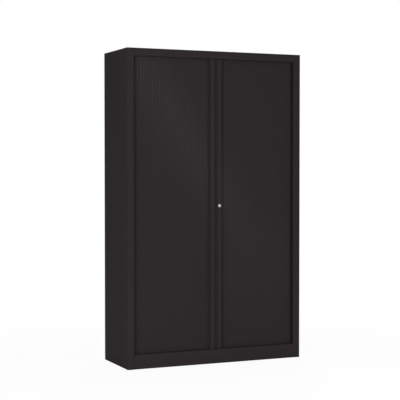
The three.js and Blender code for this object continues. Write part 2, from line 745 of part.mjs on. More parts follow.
// The lock's pieces lie about their own axis, with the height and offset set by their place
function lockHousing() {
  const rear = HANDLE_FRONT - SEAM;
  const bore = CORE_RADIUS + LOCK_FIT;
  const profile = [
    [bore, LOCK_FACE],
    [LOCK_FLANGE_RADIUS - LOCK_FLANGE_EDGE, LOCK_FACE],
    [LOCK_FLANGE_RADIUS, LOCK_FACE + LOCK_FLANGE_EDGE],
    [LOCK_FLANGE_RADIUS, rear],
    [BARREL_RADIUS, rear],
    [BARREL_RADIUS, BARREL_END],
    [bore, BARREL_END],
    [bore, LOCK_FACE],
  ].map(([radius, y]) => new THREE.Vector2(radius, y));
  return new THREE.LatheGeometry(profile, ROUND_SIDES);
}

function lockCore() {
  const face = LOCK_FACE + CORE_RECESS;
  const body = barY(CORE_RADIUS, face, BARREL_END + SEAM);
  const tail = barY(CORE_TAIL_RADIUS, BARREL_END, HOOK_REAR);
  const keyway = block(
    [-KEYWAY_WIDTH / 2, face - OVERRUN, -KEYWAY_HEIGHT / 2],
    [KEYWAY_WIDTH / 2, face + KEYWAY_DEPTH, KEYWAY_HEIGHT / 2],
  );
  const thread = barY(
    HOOK_SCREW_RADIUS + LOCK_FIT, HOOK_REAR - HOOK_SCREW_LENGTH - SEAM, HOOK_REAR + OVERRUN,
  );
  return cut(join(body, tail), keyway, thread);
}

// The hook hangs down when the lock is open. Its barb points towards the left handle.
function lockHook() {
  const half = HOOK_ARM_WIDTH / 2;
  const barbTop = HOOK_BARB_LENGTH - HOOK_LENGTH;
  const arm = new THREE.Shape([
    [-half, 0],
    [-half, barbTop],
    [-HOOK_BARB_REACH, barbTop],
    [-HOOK_BARB_REACH, -HOOK_LENGTH],
    [half, -HOOK_LENGTH],
    [half, 0],
  ].map(([x, z]) => new THREE.Vector2(x, z)));
  const blade = frontToRear(arm, HOOK_FRONT, HOOK_REAR);
  const hub = barY(HOOK_HUB_RADIUS, HOOK_FRONT, HOOK_REAR);
  const hole = barY(CORE_TAIL_RADIUS + LOCK_FIT, HOOK_FRONT - OVERRUN, HOOK_REAR + OVERRUN);
  return cut(join(blade, hub), hole);
}

function hookScrew() {
  const seat = HOOK_REAR + SEAM;
  const shank = barY(HOOK_SCREW_RADIUS, HOOK_REAR - HOOK_SCREW_LENGTH, seat + SEAM);
  const head = barY(HOOK_SCREW_HEAD_RADIUS, seat, seat + HOOK_SCREW_HEAD_HEIGHT);
  return join(shank, head);
}

// A spring clip pushed over the barrel from below, behind the handle's front wall
function lockClip() {
  const front = HANDLE_FRONT + HANDLE_WALL + SEAM;
  const rear = front + LOCK_CLIP_THICKNESS;
  const half = LOCK_CLIP_WIDTH / 2;
  const hole = BARREL_RADIUS + LOCK_FIT / 2;
  const plate = block([-half, front, -LOCK_CLIP_HEIGHT / 2], [half, rear, LOCK_CLIP_HEIGHT / 2]);
  const mouth = block(
    [-hole, front - OVERRUN, -LOCK_CLIP_HEIGHT / 2 - OVERRUN],
    [hole, rear + OVERRUN, 0],
  );
  return cut(plate, barY(hole, front - OVERRUN, rear + OVERRUN), mouth);
}

// The strike plate lies inside the left handle, against the wall that the hook comes through
function strikePlate() {
  const slot = hookSlot(-1, HANDLE_WALL + STRIKE_THICKNESS + OVERRUN);
  slot.computeBoundingBox();
  const near = -(RIDGE_START + HANDLE_WALL + SEAM);
  const { min, max } = slot.boundingBox;
  const rear = HANDLE_REAR - HANDLE_WALL - SEAM;
  const plate = block(
    [near, rear - STRIKE_DEPTH, min.z - STRIKE_MARGIN],
    [near - STRIKE_THICKNESS, rear, max.z + STRIKE_MARGIN],
  );
  return cut(plate, slot);
}

// The case
for (const [word, side] of SIDES) addPiece(`${word}_side_panel`, sidePanel(side), paintedSteel());
addPiece('top_panel', topPanel(), paintedSteel());
addPiece('plinth', plinth(), paintedSteel());
addPiece('outer_back_panel', outerBack(), paintedSteel());
addPiece('base_pan', pan(BASE_PAN_TOP - BASE_PAN_FLANGE, BASE_PAN_TOP, true), paintedSteel());
addPiece('roof_pan', pan(ROOF_PAN_BOTTOM, ROOF_PAN_BOTTOM + ROOF_PAN_FLANGE, false), paintedSteel());

// The inside
addPiece('floor_panel', innerPanel(LOWER_TRACK_BOTTOM, PLINTH_HEIGHT, true), paintedSteel());
addPiece('ceiling_panel', innerPanel(OPENING_TOP, UPPER_TRACK_TOP, false), paintedSteel());
for (const [word, side] of SIDES) addPiece(`${word}_inner_side`, innerSide(side), paintedSteel());
addPiece('inner_back_panel', innerBack(), paintedSteel());
for (let i = 1; i <= SHELF_COUNT; i += 1) {
  const level = PLINTH_HEIGHT + i * BAY_HEIGHT;
  addPiece(`shelf_${i}`, shelf(), paintedSteel(), [0, 0, level]);
  for (const [word, side] of SIDES) {
    SLOT_COLUMNS.forEach((column, row) => {
      const name = `shelf_${i}_clip_${row === 0 ? 'front' : 'rear'}_${word}`;
      addPiece(name, shelfClip(side), zincedSteel(), [0, column, level]);
    });
  }
}

// The tracks and the doors
for (const [word, side] of SIDES) {
  const lowerGroove = PLINTH_HEIGHT - TRACK_GROOVE_DEPTH;
  addPiece(`${word}_lower_track`, track(side, LOWER_TRACK_BOTTOM, lowerGroove), blackPlastic());
  addPiece(`${word}_upper_track`, track(side, OPENING_TOP, OPENING_TOP - OVERRUN), blackPlastic());
  addPiece(`${word}_curtain`, curtain(side), slatPlastic());
  addPiece(`${word}_handle`, handle(side), slatPlastic());
  addPiece(`${word}_meeting_strip`, meetingStrip(side), slatPlastic());
  addPiece(`${word}_handle_lower_cap`, endCap(side, false), blackPlastic());
  addPiece(`${word}_handle_upper_cap`, endCap(side, true), blackPlastic());
}

// The lock
const lockPlace = [LOCK_OFFSET, 0, LOCK_HEIGHT];
addPiece('lock_housing', lockHousing(), nickel(), lockPlace);
addPiece('lock_core', lockCore(), nickel(), lockPlace);
addPiece('lock_hook', lockHook(), zincedSteel(), lockPlace);
addPiece('lock_hook_screw', hookScrew(), zincedSteel(), lockPlace);
addPiece('lock_clip', lockClip(), zincedSteel(), lockPlace);
addPiece('strike_plate', strikePlate(), zincedSteel());

// The feet
for (const [word, side] of SIDES) {
  for (const [end, y] of [['front', FRONT + FOOT_SETBACK], ['rear', BACK - FOOT_SETBACK]]) {
    const place = [side * (SIDE - FOOT_INSET), y, 0];
    addPiece(`foot_${end}_${word}`, levellingFoot(), zincedSteel(), place);
    addPiece(`foot_socket_${end}_${word}`, footSocket(), zincedSteel(), place);
  }
}

export default cabinet;
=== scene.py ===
"""Tambour door cabinet: the finished surfaces of the case, the inside, the slatted doors, the lock and
the feet, and the floor, light and camera that show them."""

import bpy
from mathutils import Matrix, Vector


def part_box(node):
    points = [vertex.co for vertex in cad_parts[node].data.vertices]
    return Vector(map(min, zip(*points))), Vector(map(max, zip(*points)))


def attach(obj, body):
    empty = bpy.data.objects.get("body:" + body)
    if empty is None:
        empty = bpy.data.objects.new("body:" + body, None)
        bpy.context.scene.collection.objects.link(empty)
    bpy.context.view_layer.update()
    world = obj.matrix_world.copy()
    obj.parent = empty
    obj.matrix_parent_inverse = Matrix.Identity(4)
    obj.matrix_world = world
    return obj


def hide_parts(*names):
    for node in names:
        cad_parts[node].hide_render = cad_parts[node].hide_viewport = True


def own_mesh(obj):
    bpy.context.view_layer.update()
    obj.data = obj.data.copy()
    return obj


bl_info = {
    "name": "Tambour Door Cabinet",
    "version": (1, 0, 0),
    "blender": (4, 5, 0),
    "location": "3D View > Sidebar > Cabinet",
    "description": "Builds the finished surfaces of a tambour door cabinet on its packed frame",
    "category": "Add Mesh",
}

import math

import bmesh
import bpy
import numpy as np
from bpy.props import FloatProperty, FloatVectorProperty, IntProperty, PointerProperty
from mathutils import Matrix, Vector
from mathutils.geometry import tessellate_polygon

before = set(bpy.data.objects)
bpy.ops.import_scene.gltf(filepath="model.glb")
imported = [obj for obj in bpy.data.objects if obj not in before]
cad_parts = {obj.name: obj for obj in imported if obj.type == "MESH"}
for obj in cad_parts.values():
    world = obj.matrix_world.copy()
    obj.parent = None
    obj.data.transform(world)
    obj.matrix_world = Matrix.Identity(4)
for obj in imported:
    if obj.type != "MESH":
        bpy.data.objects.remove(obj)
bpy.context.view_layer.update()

SIDES = (("left", -1.0), ("right", 1.0))
ENDS = ("front", "rear")
LEVELS = ("lower", "upper")
SHELVES = range(1, 5)

# Which axes a flat section lies in, and which axis it is carried along
PLAN = (0, 1, 2)
SIDE_VIEW = (1, 2, 0)
FRONT_VIEW = (0, 2, 1)

# Points closer than this are one point, places along a line are told apart to this many digits, and
# edges sharper than this are sharp
WELD = 1e-7
PLACE_DIGITS = 9
SHARP_ANGLE = math.radians(32)

# Fineness of the surfaces
BEND_STEPS = 6
CORNER_STEPS = 5
EDGE_STEPS = 4
HANDLE_STEPS = 5
SHOULDER_STEPS = 5
FACE_STEPS = 7
ROUND_STEPS = 48
THREAD_STEPS = 6
WELD_DIVISIONS = 9
BORE_DIVISIONS = 8
BACK_DIVISIONS = 70

# A weld's mark is drawn out to this many times its radius, and a seam has at least so many welds
WELD_REACH = 1.5
LEAST_WELDS = 2
# A tray's corner keeps this share of its radius where the sheet is folded in furthest
LEAST_CORNER_SHARE = 0.1
# The hole for the hook's screw, as a share of the screw's own width
SCREW_HOLE_SHARE = 0.42
# How far the outer back's two waves turn from edge to edge, in radians
BACK_WAVES = (7.1, 3.3, 9.7, 4.1)

# Textures: how much finer a second noise is than the first, and the shares of the two
PEEL_FINER = 2.6
PEEL_SHARES = (0.7, 0.3)
DRAWN_FINER = 2.0
DRAWN_SHARES = (0.75, 0.25)
PLATED_FINER = 9.0
PLATED_SHARES = (0.7, 0.5)
# How fine drawn lines are along a slat, as a share of how fine they are across it
DRAWN_OUT_SHARE = 0.012
# The levels of a noise between which handling marks go from none to full
HANDLED_FROM = 0.32
HANDLED_TO = 0.68

# The stage, whose floor lies a little below the cabinet
WHITE = (1.0, 1.0, 1.0, 1.0)
FLOOR_DROP = 0.0005
# Lamps: name, middle, what it faces, width and height
LAMPS = (
    ("key", (-4.3, -4.8, 1.3), (0.0, 0.0, 1.0), (2.8, 2.8)),
    ("overhead", (0.0, -2.6, 3.8), (0.0, -2.6, 0.0), (3.5, 1.5)),
    ("floor_lamp", (-0.5, -1.2, 0.6), (-0.5, -1.2, 0.0), (3.0, 1.2)),
    ("low", (0.2, -4.5, 0.25), (0.2, 0.0, 0.25), (3.0, 0.4)),
    ("low_right", (1.7, -3.0, 0.4), (1.7, 0.0, 0.4), (0.8, 0.7)),
    ("rear", (2.4, 4.6, 3.6), (0.0, 0.2, 1.4), (2.8, 2.8)),
)
# The slanting light, from its first to its last end, with the share of its power in each equal part
SHEEN_START = (0.45, -3.0, 2.33)
SHEEN_END = (1.77, -3.0, 0.386)
SHEEN_WIDTH = 0.3
SHEEN_SHARES = (0.3, 0.3, 0.25, 0.15)


# Settings that a user may change


def length(name, description, default):
    """A size in metres."""
    return FloatProperty(
        name=name, description=description, default=default, min=0.0, precision=5, unit="LENGTH"
    )


def share(name, description, default):
    """A part of one."""
    return FloatProperty(
        name=name, description=description, default=default, min=0.0, max=1.0, subtype="FACTOR"
    )


def colour(name, description, default):
    """A colour in linear light."""
    return FloatVectorProperty(
        name=name, description=description, default=default, min=0.0, max=1.0, size=3, subtype="COLOR"
    )


def power(name, description, default):
    """A lamp's power in watts."""
    return FloatProperty(name=name, description=description, default=default, min=0.0, unit="POWER")


class CabinetSheets(bpy.types.PropertyGroup):
    """Sizes of the folded sheets."""

    case_sheet: length("Case sheet", "Thickness of the painted outer sheets", 0.001)
    back_sheet: length("Back sheet", "Thickness of the outer back", 0.0008)
    liner_sheet: length("Liner sheet", "Thickness of the inside's sheets", 0.0008)
    bend_radius: length("Bend radius", "Radius of a fold, to the middle of its sheet", 0.002)
    seam: length("Seam", "Gap between two sheets that meet", 0.0003)
    rear_flange: length("Rear flange", "Width of the flange round the back", 0.018)
    stile_return: length("Stile return", "How far a stile's inner edge is folded back", 0.022)
    plinth_flange: length("Plinth flange", "Depth of the plinth's foot", 0.015)
    plinth_tab: length("Plinth tab", "Depth of the tabs behind the plinth's ends", 0.012)
    tab_edge: length("Tab edge", "Rounding of those tabs' edges", 0.00015)
    weld_spacing: length("Weld spacing", "Distance between two spot welds", 0.16)
    weld_radius: length("Weld radius", "Radius of a spot weld's mark", 0.0028)
    weld_depth: length("Weld depth", "Depth of a spot weld's mark", 0.0003)
    back_waviness: length("Back waviness", "How far the outer back's thin sheet waves", 0.0002)


class CabinetInside(bpy.types.PropertyGroup):
    """Sizes of the shelves and of the inside's slots."""

    shelf_return: length("Shelf return", "Width of the edge folded in below a shelf", 0.012)
    tray_corner: length("Tray corner", "Corner radius of shelves and inside panels, from above", 0.0025)
    slot_width: length("Slot width", "Width of a slot for a shelf clip", 0.005)
    slot_height: length("Slot height", "Height of a slot for a shelf clip", 0.014)
    slot_inset: length("Slot inset", "From an inner side's edge to its column of slots", 0.045)
    slots_per_bay: IntProperty(
        name="Slots per bay", description="Slots from one shelf to the next", default=7, min=1
    )


class CabinetCurtains(bpy.types.PropertyGroup):
    """Sizes of the slats and of the way that they run."""

    slat_count: IntProperty(name="Slats", description="Slats in one curtain", default=29, min=2)
    slat_thickness: length("Slat thickness", "From a slat's face to its back", 0.008)
    groove_bottom: length("Groove bottom", "Width of the flat bottom of the groove between slats", 0.0003)
    groove_width: length("Groove width", "Width of the groove, with its rounded shoulders", 0.0008)
    groove_depth: length("Groove depth", "Depth of the groove between slats", 0.0005)
    crown: length("Crown", "How far the edges of a slat's face fall back", 0.00004)
    face_wall: length("Face wall", "Wall between a slat's face and its pocket", 0.0016)
    side_wall: length("Side wall", "Walls beside a slat's pocket", 0.0019)
    draft: length("Draft", "By which pockets and slits narrow towards the face", 0.0004)
    slit: length("Slit", "Gap between two slats, at the back", 0.0008)
    hinge: length("Hinge", "Thickness of the web that joins two slats", 0.0014)
    corner_radius: length("Corner radius", "Radius of the turn into the side of the case", 0.04)
    packed: share("Packed share", "Share of its width that an open curtain takes up", 0.06)
    track_gap: length("Track gap", "Gap between the slats that are drawn and a track", 0.0003)


class CabinetHandles(bpy.types.PropertyGroup):
    """Sizes of the two handle profiles and the meeting strips between them."""

    wall: length("Wall", "Wall of the hollow profile", 0.0022)
    ridge_width: length("Ridge width", "Width of the raised part", 0.0285)
    ridge_corner: length("Ridge corner", "Radius of the ridge's front corners", 0.003)
    small_corner: length("Small corner", "Radius of the profile's other corners", 0.0007)
    cap_edge: length("Cap edge", "Rounding of the end caps' edges", 0.0004)
    tongue_width: length("Tongue width", "Width of a cap's tongue in the track", 0.026)
    tongue_thickness: length("Tongue thickness", "Thickness of a cap's tongue", 0.007)
    cap_thickness: length("Cap thickness", "Thickness of an end cap's plate", 0.003)
    lip_thickness: length("Lip thickness", "Thickness of the strip's lip", 0.0025)
    foot_thickness: length("Strip foot", "Thickness of the strip's foot on the ridge", 0.0015)
    strip_edge: length("Strip edge", "Rounding of the strip's edges", 0.0004)


class CabinetLock(bpy.types.PropertyGroup):
    """Sizes of the lock."""

    flange_thickness: length("Flange thickness", "Thickness of the round flange", 0.002)
    flange_edge: length("Flange edge", "Rounding of the flange's front edge", 0.0008)
    mouth_edge: length("Mouth edge", "Rounding round the core", 0.0004)
    barrel_radius: length("Barrel radius", "Radius of the barrel", 0.0075)
    fit: length("Fit", "Gap round the core and round the barrel", 0.0003)
    core_radius: length("Core radius", "Radius of the turning core", 0.0054)
    hook_arm: length("Hook arm", "Width of the hook's arm", 0.01)
    keyway_width: length("Keyway width", "Width of the keyway", 0.0018)
    keyway_height: length("Keyway height", "Height of the keyway", 0.007)
    keyway_depth: length("Keyway depth", "Depth of the keyway", 0.006)
    tail_radius: length("Tail radius", "Radius of the core's tail, which carries the hook", 0.004)
    hook_clearance: length("Hook clearance", "Gap round the hook in the handles' slots", 0.0012)


class CabinetFeet(bpy.types.PropertyGroup):
    """Sizes of the levelling feet."""

    pad_height: length("Pad height", "Height of the round pad", 0.007)
    pad_edge: length("Pad edge", "Rounding of the pad's edges", 0.002)
    stud_radius: length("Stud radius", "Outer radius of the thread", 0.005)
    thread_pitch: length("Thread pitch", "Rise of the thread in one turn", 0.0015)
    thread_depth: length("Thread depth", "Depth of the thread", 0.0008)


class CabinetFinishes(bpy.types.PropertyGroup):
    """Colours and sheen of the materials."""

    coat: colour("Powder coat", "Colour of the painted sheets", (0.0280, 0.0234, 0.0244))
    slats: colour("Slats", "Colour of the slats", (0.0232, 0.0191, 0.0201))
    handles: colour("Handles", "Colour of the handles", (0.0266, 0.0221, 0.0229))
    rubber: colour("Strip", "Colour of the meeting strips", (0.0235, 0.0196, 0.0204))
    black: colour("Black plastic", "Colour of tracks, caps and pads", (0.0190, 0.0162, 0.0166))
    zinc: colour("Zinc", "Colour of the plated fittings", (0.46, 0.47, 0.48))
    nickel: colour("Nickel", "Colour of the lock", (0.48, 0.465, 0.46))
    coat_roughness: share("Coat roughness", "Roughness of the powder coat", 0.62)
    slat_roughness: share("Slat roughness", "Roughness of the slats", 0.15)
    handle_roughness: share("Handle roughness", "Roughness of the handles", 0.2)
    strip_roughness: share("Strip roughness", "Roughness of the meeting strips", 0.72)
    black_roughness: share("Black roughness", "Roughness of the black plastic", 0.5)
    zinc_roughness: share("Zinc roughness", "Roughness of the plated fittings", 0.34)
    nickel_roughness: share("Nickel roughness", "Roughness of the lock", 0.36)
    coat_level: share("Coat reflection", "Strength of the powder coat's reflection", 0.004)
    slat_level: share("Slat reflection", "Strength of the slats' reflection", 0.045)
    handle_level: share("Handle reflection", "Strength of the handles' reflection", 0.02)
    strip_level: share("Strip reflection", "Strength of the meeting strips' reflection", 0.05)
    black_level: share("Black reflection", "Strength of the black plastic's reflection", 0.1)


class CabinetStage(bpy.types.PropertyGroup):
    """Light, floor and camera."""

    fill: FloatProperty(name="Fill", description="Light from all round", default=0.17, min=0.0)
    key_power: power("Key power", "Power of the large lamp on the left", 266.0)
    overhead_power: power("Overhead power", "Power of the lamp above", 26.5)
    floor_lamp_power: power("Floor power", "Power of the lamp that lights the floor in front", 5.0)
    low_power: power("Low power", "Power of the wide lamp near the floor", 1.9)
    low_right_power: power("Low right power", "Power of the lamp low on the right", 1.3)
    rear_power: power("Rear power", "Power of the lamp behind, which lights the back", 270.0)
    sheen_power: power("Sheen power", "Power of the slanting light", 6.3)
    shadow: share("Shadow", "How much of the cabinet's shadow the floor keeps near it", 0.06)
    floor: colour("Floor", "Colour of the floor", (0.96, 0.96, 0.96))
    floor_radius: length("Floor radius", "Radius of the floor", 60.0)
    clear_radius: length("Clear radius", "Distance past which the floor is plain", 2.6)
    lens: FloatProperty(
        name="Lens", description="Focal length", default=102.03, min=1.0, unit="CAMERA"
    )
    distance: length("Distance", "From the camera to what it looks at", 7.1396)
    yaw: FloatProperty(
        name="Yaw", description="Turn of the camera to the left side", default=0.4182, subtype="ANGLE"
    )
    pitch: FloatProperty(
        name="Pitch", description="How far the camera looks down", default=0.0301, subtype="ANGLE"
    )
    aim_x: FloatProperty(
        name="Aim across", description="Where the camera looks, across the front", default=-0.1150,
        unit="LENGTH",
    )
    aim_height: length("Aim height", "Height that the camera looks at", 1.0417)


# Shapes as arrays


def span(node):
    """The lowest and highest corner of a node, as arrays."""
    low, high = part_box(node)
    return np.array(low), np.array(high)


def middle_of(node):
    """The middle of a node's box."""
    return sum(span(node)) / 2


def near_and_far(low, high):
    """How far from the cabinet's middle a node starts and ends, on whichever side it is."""
    return np.sort(np.abs([low[0], high[0]]))


def placed(first, second, third, axes):
    """A grid of points from their coordinates, each on its own axis."""
    values = dict(zip(axes, np.broadcast_arrays(first, second, third)))
    return np.stack([values[axis] for axis in sorted(axes)], axis=-1)


def unit(vectors):
    """The vectors, each made one long."""
    return vectors / np.linalg.norm(vectors, axis=-1, keepdims=True)


def turned(corners, radii, steps, closed=False):
    """A flat line with its corners rounded, and the directions to its left.

    The arc round a corner starts radius x tan(turn / 2) before it. Where the line reaches the
    corner in the direction a, the arc is its start, plus a x radius x sin(angle), plus the inward
    normal x radius x (1 - cos(angle)), for angles from zero to the whole turn.
    """
    corners = np.asarray(corners, float)
    if closed:
        before, middle, after = np.roll(corners, 1, axis=0), corners, np.roll(corners, -1, axis=0)
    else:
        before, middle, after = corners[:-2], corners[1:-1], corners[2:]
    enter, leave = unit(middle - before), unit(after - middle)
    cross = enter[:, 0] * leave[:, 1] - enter[:, 1] * leave[:, 0]
    turn = np.arctan2(cross, (enter * leave).sum(axis=1))
    radii = np.broadcast_to(np.asarray(radii, float), turn.shape)
    angle = (np.abs(turn)[:, None] * np.linspace(0, 1, steps + 1))[..., None]
    left = np.stack([-enter[:, 1], enter[:, 0]], axis=1)
    inward = left * np.sign(turn)[:, None]
    start = middle - enter * (radii * np.tan(np.abs(turn) / 2))[:, None]
    reach = radii[:, None, None]
    points = (
        start[:, None]
        + enter[:, None] * reach * np.sin(angle)
        + inward[:, None] * reach * (1 - np.cos(angle))
    ).reshape(-1, 2)
    heading = (enter[:, None] * np.cos(angle) + inward[:, None] * np.sin(angle)).reshape(-1, 2)
    if not closed:
        first, last = unit(corners[1] - corners[0]), unit(corners[-1] - corners[-2])
        points = np.vstack([corners[:1], points, corners[-1:]])
        heading = np.vstack([first, heading, last])
    return points, np.stack([-heading[:, 1], heading[:, 0]], axis=1)


def along(points):
    """The distance of each point of a line from its start."""
    return np.concatenate([[0], np.cumsum(np.linalg.norm(np.diff(points, axis=0), axis=1))])


def with_places(points, normals, places):
    """The line with points added at the given distances from its start, by linear steps between
    its own points."""
    reached = along(points)
    inside = np.asarray(places, float)
    inside = inside[(inside > 0) & (inside < reached[-1])]
    stations = np.unique(np.round(np.concatenate([reached, inside]), PLACE_DIGITS))
    points, normals = [
        np.stack([np.interp(stations, reached, column) for column in values.T], axis=1)
        for values in (points, normals)
    ]
    return points, unit(normals)


def carried(section, stations, axes):
    """A flat section repeated at each station: a grid of section points by stations."""
    return placed(section[:, None, 0], section[:, None, 1], np.asarray(stations, float), axes)


def revolved(profile, centre, axes):
    """A profile of radius and place, turned round an axis through the centre: the first flat
    direction is radius x cos(angle) and the second is radius x sin(angle)."""
    angle = np.linspace(0, 2 * math.pi, ROUND_STEPS + 1)
    radius, place = profile[:, None, 0], profile[:, None, 1]
    first = centre[axes[0]] + radius * np.cos(angle)
    second = centre[axes[1]] + radius * np.sin(angle)
    return placed(first, second, place, axes)


def middles(values):
    """The middle of each step of a list of values."""
    return (values[:-1] + values[1:]) / 2


def add_object(name, data):
    """A new object at the origin of the scene."""
    made = bpy.data.objects.new(name, data)
    bpy.context.scene.collection.objects.link(made)
    return made


class Skin:
    """Gathers grids and flat ends into one mesh, and joins the points that meet. A shape is given
    as it is on the right-hand side, and a side of -1 mirrors it across the middle."""

    def __init__(self, side=1.0):
        self.side = side
        self.points = []
        self.faces = []
        self.total = 0

    def grid(self, points, kept=None):
        """Adds a grid of points with a face in each kept cell."""
        rows, columns = points.shape[:2]
        index = np.arange(rows * columns).reshape(rows, columns) + self.total
        cells = np.stack([index[:-1, :-1], index[1:, :-1], index[1:, 1:], index[:-1, 1:]], axis=-1)
        self.faces.append(cells.reshape(-1, 4) if kept is None else cells[kept])
        self.points.append(points.reshape(-1, 3))
        self.total += rows * columns

    def sheet(self, face, back, kept=None, round_columns=False, open_end=False):
        """Adds the two skins of a sheet and a rim along each edge of its kept cells.

        A cell's edge has a rim where the cell is kept and its neighbour isn't. With
        round_columns the last column meets the first, and open_end leaves the last row bare.
        """
        if kept is None:
            kept = np.ones((face.shape[0] - 1, face.shape[1] - 1), bool)
        self.grid(face, kept)
        self.grid(back, kept)
        rows = np.pad(kept, ((1, 1), (0, 0)))
        if open_end:
            rows[-1] = rows[-2]
        columns = np.pad(kept, ((0, 0), (1, 1)), mode="wrap" if round_columns else "constant")
        i, j = np.nonzero(rows[1:] != rows[:-1])
        self.strip(face[i, j], face[i, j + 1], back[i, j + 1], back[i, j])
        i, j = np.nonzero(columns[:, 1:] != columns[:, :-1])
        self.strip(face[i, j], face[i + 1, j], back[i + 1, j], back[i, j])

    def strip(self, *corners):
        """Adds separate four-cornered faces, given by an array for each corner."""
        points = np.stack(corners, axis=1)
        index = np.arange(points.shape[0] * 4).reshape(-1, 4) + self.total
        self.points.append(points.reshape(-1, 3))
        self.faces.append(index)
        self.total += points.shape[0] * 4

    def flat(self, *loops):
        """Fills a flat outline, less its holes, with triangles."""
        corners = np.vstack(loops)
        triangles = np.array(tessellate_polygon([[Vector(p) for p in loop] for loop in loops]))
        self.faces.append(np.column_stack([triangles, triangles[:, :1]]) + self.total)
        self.points.append(corners)
        self.total += len(corners)

    def tube(self, loops):
        """Adds the wall between closed loops, and fills its first and last loop."""
        self.grid(np.concatenate([loops, loops[:1]], axis=0))
        self.flat(loops[:, 0])
        self.flat(loops[:, -1])

    def piece(self, name, material, body, slot, node):
        """Makes the mesh object and hangs it on its body in the place of its node."""
        points = np.vstack(self.points) * np.array([self.side, 1, 1])
        faces = np.vstack(self.faces)
        _, first, joined = np.unique(
            np.round(points / WELD).astype(np.int64), axis=0, return_index=True, return_inverse=True
        )
        faces = joined.reshape(-1)[faces]
        polygons = [tuple(dict.fromkeys(face)) for face in faces.tolist()]
        mesh = bpy.data.meshes.new(name)
        mesh.from_pydata(points[first], [], [face for face in polygons if len(face) > 2])
        whole = bmesh.new()
        whole.from_mesh(mesh)
        bmesh.ops.recalc_face_normals(whole, faces=whole.faces)
        whole.to_mesh(mesh)
        whole.free()
        mesh.polygons.foreach_set("use_smooth", np.ones(len(mesh.polygons), bool))
        mesh.set_sharp_from_angle(angle=SHARP_ANGLE)
        mesh.materials.append(material)
        made = add_object(name, mesh)
        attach(made, body)
        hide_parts(node)
        return made


def eased_bar(skin, corners, radii, low, high, edge, axes):
    """A bar of one section whose ends are rounded.

    For angles from zero to a quarter turn, the outline is moved in by edge x (1 - sin(angle)) at
    edge x (1 - cos(angle)) from the end.
    """
    outline, normals = turned(corners, radii, EDGE_STEPS, closed=True)
    ahead = np.roll(outline, -1, axis=0)
    area = np.sum(outline[:, 0] * ahead[:, 1] - outline[:, 1] * ahead[:, 0])
    angle = np.linspace(0, math.pi / 2, EDGE_STEPS)
    inset = edge * (1 - np.sin(angle))
    rise = edge * (1 - np.cos(angle))
    insets = np.concatenate([inset, inset[::-1]])
    places = np.concatenate([low + rise, high - rise[::-1]])
    loops = outline[:, None] + normals[:, None] * np.sign(area) * insets[None, :, None]
    skin.tube(placed(loops[..., 0], loops[..., 1], places, axes))


# Sheet metal shapes


def folded_skins(corners, sheet, radius, stations, axes, places=()):
    """The two skins of a folded sheet. The middle of the sheet is the corners' line with its bends
    rounded, and each skin lies half the sheet's thickness to one side of it."""
    points, normals = with_places(*turned(corners, radius, BEND_STEPS), places)
    left = carried(points + normals * sheet / 2, stations, axes)
    right = carried(points - normals * sheet / 2, stations, axes)
    return points, normals, left, right


def weld_places(low, high, sizes):
    """Evenly spaced places between two ends, one for each spot weld."""
    count = max(LEAST_WELDS, round((high - low) / sizes.weld_spacing))
    return low + (np.arange(count) + 0.5) * (high - low) / count


def gathered(centres, sizes):
    """Places close together across each weld, so that its round mark has a shape."""
    across = np.linspace(-1, 1, WELD_DIVISIONS) * WELD_REACH * sizes.weld_radius
    return (np.atleast_1d(centres)[:, None] + across).reshape(-1)


def weld_marks(across, lengthways, middle, centres, sizes):
    """The depth of the weld marks over a grid: at each weld, depth x exp(-(distance / radius)^4),
    which has a flat bottom and a soft edge."""
    distance = np.hypot(
        (across - middle)[:, None, None], (lengthways[:, None] - centres[None, :])[None]
    )
    return sizes.weld_depth * np.exp(-((distance / sizes.weld_radius) ** 4)).sum(axis=2)


def rounded_loop(inset, half_x, half_y, corner):
    """Rectangles with rounded corners, one for each inset: each corner's centre is the half size
    less its radius, and its arc is the centre plus the radius x (cos(angle), sin(angle))."""
    radius = np.maximum(corner - inset, corner * LEAST_CORNER_SHARE)[:, None]
    part = np.linspace(0, 1, CORNER_STEPS + 1)
    quarter = np.arange(4).repeat(len(part))
    angle = (quarter + np.tile(part, 4)) * math.pi / 2
    diagonal = (quarter + 0.5) * math.pi / 2
    x = np.sign(np.cos(diagonal)) * (half_x - inset[:, None] - radius) + radius * np.cos(angle)
    y = np.sign(np.sin(diagonal)) * (half_y - inset[:, None] - radius) + radius * np.sin(angle)
    loop = np.stack([x, y], axis=-1)
    return np.concatenate([loop, loop[:, :1]], axis=1)


def painted(skin, node):
    """A painted sheet of the case, in the place of its node."""
    return skin.piece(f"{node}_finished", powder_coat(), "case", "painted_steel", node)


def tray(node, sizes, inside, folded_in, flat_on_top):
    """A sheet with its four edges folded over.

    Its section is a line of inset and height: from the tip of the folded-in edge, out to the
    flange, up, and in to the flat. Each point of the section runs round a rounded rectangle.
    """
    low, high = span(node)
    middle, half = (low + high) / 2, (high - low) / 2
    sheet, radius, corner = sizes.liner_sheet, sizes.bend_radius, inside.tray_corner
    height = high[2] - low[2]
    inner = corner + 2 * radius
    section = [(sheet / 2, height - sheet / 2), (inner, height - sheet / 2)]
    if folded_in:
        section = [(folded_in, sheet / 2), (sheet / 2, sheet / 2)] + section
    else:
        section = [(sheet / 2, 0)] + section
    points, normals = turned(section, radius, BEND_STEPS)
    skins = []
    for side in (1, -1):
        skin_points = points + side * normals * sheet / 2
        loop = rounded_loop(skin_points[:, 0], half[0], half[1], corner)
        rise = np.broadcast_to(skin_points[:, 1:2], loop.shape[:2])
        level = low[2] + rise if flat_on_top else high[2] - rise
        skins.append(np.dstack([loop + middle[:2], level]))
    skin = Skin()
    skin.sheet(skins[0], skins[1], round_columns=True, open_end=True)
    for edge in skins:
        skin.flat(edge[-1, :-1])
    return painted(skin, node)


# Materials


